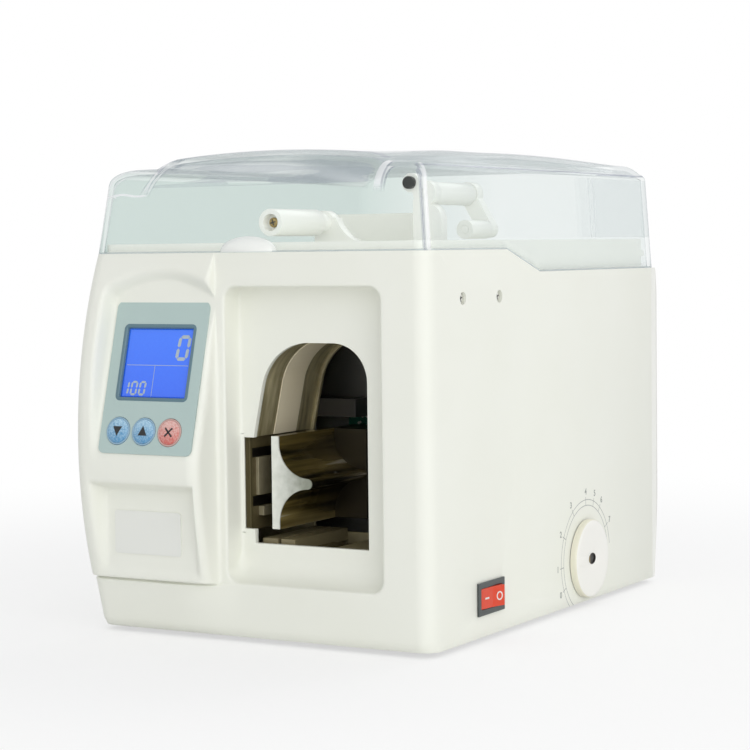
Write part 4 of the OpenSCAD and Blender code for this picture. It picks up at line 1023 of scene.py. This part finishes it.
def make_rocker_marks():
    """A bar on the pressed front half and a ring on the raised back half."""
    ridge_out = 1.4

    def slope(deg, y):
        lean = math.radians(deg)
        out = ridge_out + y * math.tan(lean)
        return side_matrix(SWITCH_Y + y, SWITCH_Z, out) @ Matrix.Rotation(-lean, 4, "Y")

    bm = bmesh.new()
    add_slab(bm, [(-1.7, -0.4), (1.7, -0.4), (1.7, 0.4), (-1.7, 0.4)], -0.2, 0.1, slope(5, -5.0))
    place = slope(15, 4.6)
    edges = None
    for radius, height in ((2.1, -0.2), (2.1, 0.1), (1.5, 0.1), (1.5, -0.2)):
        if edges is None:
            edges = ring(bm, [Vector((a, b, height)) for a, b in round_points(radius, 32)])
            tall = {v for e in edges for v in e.verts}
        else:
            edges = extend(bm, edges, on_circle(radius, height))
            tall |= {v for e in edges for v in e.verts}
    for v in tall:
        v.co = place @ v.co
    piece("rocker_marks", bm, INK_WHITE, "rocker", weld=False)


def make_knob():
    """White setting knob with a soft edge, a flat face, a grip bar and a hole in its middle, wider than tall."""
    place = side_matrix(DIAL_Y, DIAL_Z)
    edge = [(20.0, 0.35), (20.0, 2.6), (19.8, 3.3), (19.2, 3.9), (18.3, 4.2), (17.0, 4.25), (12.0, 4.2)]
    hole = [(5.2, 4.15), (4.3, 4.0), (3.1, 3.6), (2.7, 3.4), (2.5, 3.2), (2.45, 2.85), (0.0, 2.85)]
    bm = spin_profile(edge + hole, 96)
    for v in bm.verts:
        v.co.x *= 1 + 0.6 * ease(8.0, 3.1, v.co.length)
        v.co = place @ v.co
    piece("setting_knob_face", bm, FINISHES["knob_white"], "dial", ["setting_knob"])
    bm = bmesh.new()
    edges = step_rings(bm, [(rounded_rect(-17.5 + inset, -8.5 - inset, -2.6 + inset, 2.6 - inset,
                                          2.2 - inset, 6), height)
                            for inset, height in ((0.0, 4.0), (0.05, 4.25), (0.5, 4.42), (1.2, 4.5))])
    fill(bm, edges, (0.0, 0.0, 1.0))
    put(bm, place)
    piece("knob_grip", bm, FINISHES["knob_white"], "dial", weld=False)


def make_scale_digits():
    """Small printed digits round the dial."""
    for digit, angle in enumerate(SCALE_ANGLES):
        a = math.radians(angle)
        curve = bpy.data.curves.new("digit", "FONT")
        curve.body, curve.size, curve.extrude, curve.offset = str(digit), 4.4, 0.04, 0.06
        curve.align_x, curve.align_y = "CENTER", "CENTER"
        text = bpy.data.objects.new("digit", curve)
        bpy.context.scene.collection.objects.link(text)
        bpy.context.view_layer.update()
        bm = bmesh.new()
        bm.from_mesh(bpy.data.meshes.new_from_object(text))
        bpy.data.objects.remove(text)
        place = side_matrix(DIAL_Y + DIGIT_R * math.cos(a), DIAL_Z + DIGIT_R * math.sin(a), 0.03)
        put(bm, place)
        piece(f"scale_digit_{digit}", bm, INK_SCALE, "body", weld=False)


def cross_screw(name, place, radius, tall, finish, body, replaces=()):
    """A domed screw head with its cross recess shown as painted shade, a black cross set into the dome, drawn
    about +Z and set down by a matrix.
    """
    dome = ((1.0, -1.0), (1.0, 0.0), (0.94, 0.3), (0.75, 0.55), (0.4, 0.75), (0.0, 0.8))
    bm = spin_profile([(radius * a, tall * b) for a, b in dome], 40)
    put(bm, place)
    made = piece(name, bm, finish, body, replaces)
    bm = bmesh.new()
    # painted shade: a black cross stands for the dark of the cross recess
    for turn in (0.3, 0.3 + math.pi / 2):
        add_slab(bm, turned_bar(radius * 0.62, radius * 0.13, turn), tall * 0.4, tall * 0.82, place)
    piece(name + "_cross", bm, BLACK_PRINT_AND_SHADE, body, weld=False)
    return made


def front_matrix(x, y, z):
    """Takes points that face the front (across, up, out) about a place into the row's frame."""
    turn = Matrix(((1, 0, 0, 0), (0, 0, -1, 0), (0, 1, 0, 0), (0, 0, 0, 1)))
    return Matrix.Translation(at(x, y, z)) @ turn @ Matrix.Scale(0.001, 4)


def make_side_screws():
    for i, (y, z) in enumerate(SIDE_SCREWS):
        cross_screw(f"side_screw_{i}", side_matrix(y, z, -2.0), 2.5, 0.9, FINISHES["white_acetal"], "body",
                    ["side_screws"] if i == 0 else ())


def make_guide_screw():
    cross_screw("guide_screw_head", front_matrix(*GUIDE_SCREW), 2.4, 0.9, FINISHES["brass"], "body",
                ["guide_screw"])


# ---------- finger tab ----------


def make_finger_tab():
    """Lens-shaped tab on the lid's front edge."""
    bm = bmesh.new()
    bmesh.ops.create_uvsphere(bm, u_segments=48, v_segments=24, radius=1.0)
    half_w, half_d, tall = 15.0, 6.5, 7.0
    for v in bm.verts:
        v.co = at(-3.3 + half_w * v.co.x, 2.0 + half_d * v.co.y, max(182.7, 183.0 + tall * v.co.z))
    piece("finger_tab", bm, TAB, "lid", smooth=50)


make_housing()
make_lid()
make_finger_tab()
make_display()
make_buttons()
make_rocker_marks()
make_knob()
make_scale_digits()
make_side_screws()
make_guide_screw()

# ---------- finishes of the carried-over parts ----------

SLOT_OF = {s["node"]: s["material_slot"] for s in frame["record"]["subparts"]}
for node, part in frame["nodes"].items():
    part.data.materials.clear()
    part.data.materials.append(FINISHES[SLOT_OF[node]].material)
    if part.hide_render:
        continue
    weld = part.modifiers.new("weld", "WELD")
    weld.merge_threshold = 1e-5
    round_edges(part, 0.25, 35)

# ---------- camera, light and floor ----------


def make_camera():
    yaw, pitch, roll = 0.52032, 0.05777, -0.01186
    ahead = Vector((-math.sin(yaw) * math.cos(pitch), math.cos(yaw) * math.cos(pitch), -math.sin(pitch)))
    across = Vector((math.cos(yaw), math.sin(yaw), 0.0))
    up = across.cross(ahead)
    right = across * math.cos(roll) + up * math.sin(roll)
    over = up * math.cos(roll) - across * math.sin(roll)
    data = bpy.data.cameras.new("view")
    data.lens, data.sensor_width, data.clip_start = 104.03, 36.0, 0.01
    made = bpy.data.objects.new("view", data)
    turn = Matrix((right, over, -ahead)).transposed().to_4x4()
    made.matrix_world = Matrix.Translation((0.54431, -0.96603, 0.18305)) @ turn
    bpy.context.scene.collection.objects.link(made)
    bpy.context.scene.camera = made


def make_lamp(name, place, target, size, power):
    data = bpy.data.lights.new(name, "AREA")
    data.shape, data.size, data.energy = "SQUARE", size, power
    made = bpy.data.objects.new(name, data)
    made.location = place
    made.rotation_euler = (Vector(target) - Vector(place)).to_track_quat("-Z", "Y").to_euler()
    bpy.context.scene.collection.objects.link(made)


def make_world():
    world = bpy.data.worlds.new("studio")
    world.use_nodes = True
    nodes, links = world.node_tree.nodes, world.node_tree.links
    nodes.clear()
    out, mix, path = (nodes.new("ShaderNode" + kind) for kind in ("OutputWorld", "MixShader", "LightPath"))
    for i, (colour, strength) in enumerate((((0.97, 0.98, 1.0, 1.0), 0.66), ((1.0, 1.0, 1.0, 1.0), 1.0))):
        plain = nodes.new("ShaderNodeBackground")
        plain.inputs[0].default_value, plain.inputs[1].default_value = colour, strength
        links.new(plain.outputs[0], mix.inputs[i + 1])
    # the background is white where it is seen, also through glass and in reflections
    seen = path.outputs["Is Camera Ray"]
    for ray in ("Is Transmission Ray", "Is Glossy Ray"):
        either = nodes.new("ShaderNodeMath")
        either.operation = "MAXIMUM"
        links.new(seen, either.inputs[0])
        links.new(path.outputs[ray], either.inputs[1])
        seen = either.outputs[0]
    links.new(seen, mix.inputs[0])
    links.new(mix.outputs[0], out.inputs[0])
    bpy.context.scene.world = world


def make_floor():
    """Pale floor that fades to plain white away from the machine."""
    f = Finish("pale studio floor", rough=0.8)
    cloud = f.noise(400, 1.0)
    f.set("Base Color", f.mix(cloud, rgb(250, 250, 249), rgb(247, 247, 246)))
    seen = f.node("ShaderNodeLightPath", out="Is Camera Ray")
    x, y = f.axis("X") - X_MID, f.axis("Y") - Y_MID
    away = f.node("ShaderNodeMapRange", {"interpolation_type": "SMOOTHSTEP"},
                  {0: (x * x + y * y) ** 0.5, 1: 150.0, 2: 700.0, 3: 0.6, 4: 1.0})
    f.show(f.blend(away * seen, f.shader.outputs[0], f.node("ShaderNodeEmission")))
    bm = bmesh.new()
    bmesh.ops.create_grid(bm, x_segments=8, y_segments=8, size=6.0)
    mesh = bpy.data.meshes.new("studio_floor")
    bm.to_mesh(mesh)
    bm.free()
    mesh.materials.append(f.material)
    made = bpy.data.objects.new("studio_floor", mesh)
    bpy.context.scene.collection.objects.link(made)


make_camera()
make_world()
make_floor()
make_lamp("key", (1.5, -1.15, 0.6), (0, 0, 0.1), size=1.6, power=14)
make_lamp("front fill", (0.2, -1.9, 0.25), (0, 0, 0.1), size=1.4, power=2.2)
make_lamp("back", (0.2, 1.4, 1.5), (0, 0, 0.15), size=1.2, power=6)

scene = bpy.context.scene
scene.view_settings.view_transform = "Standard"
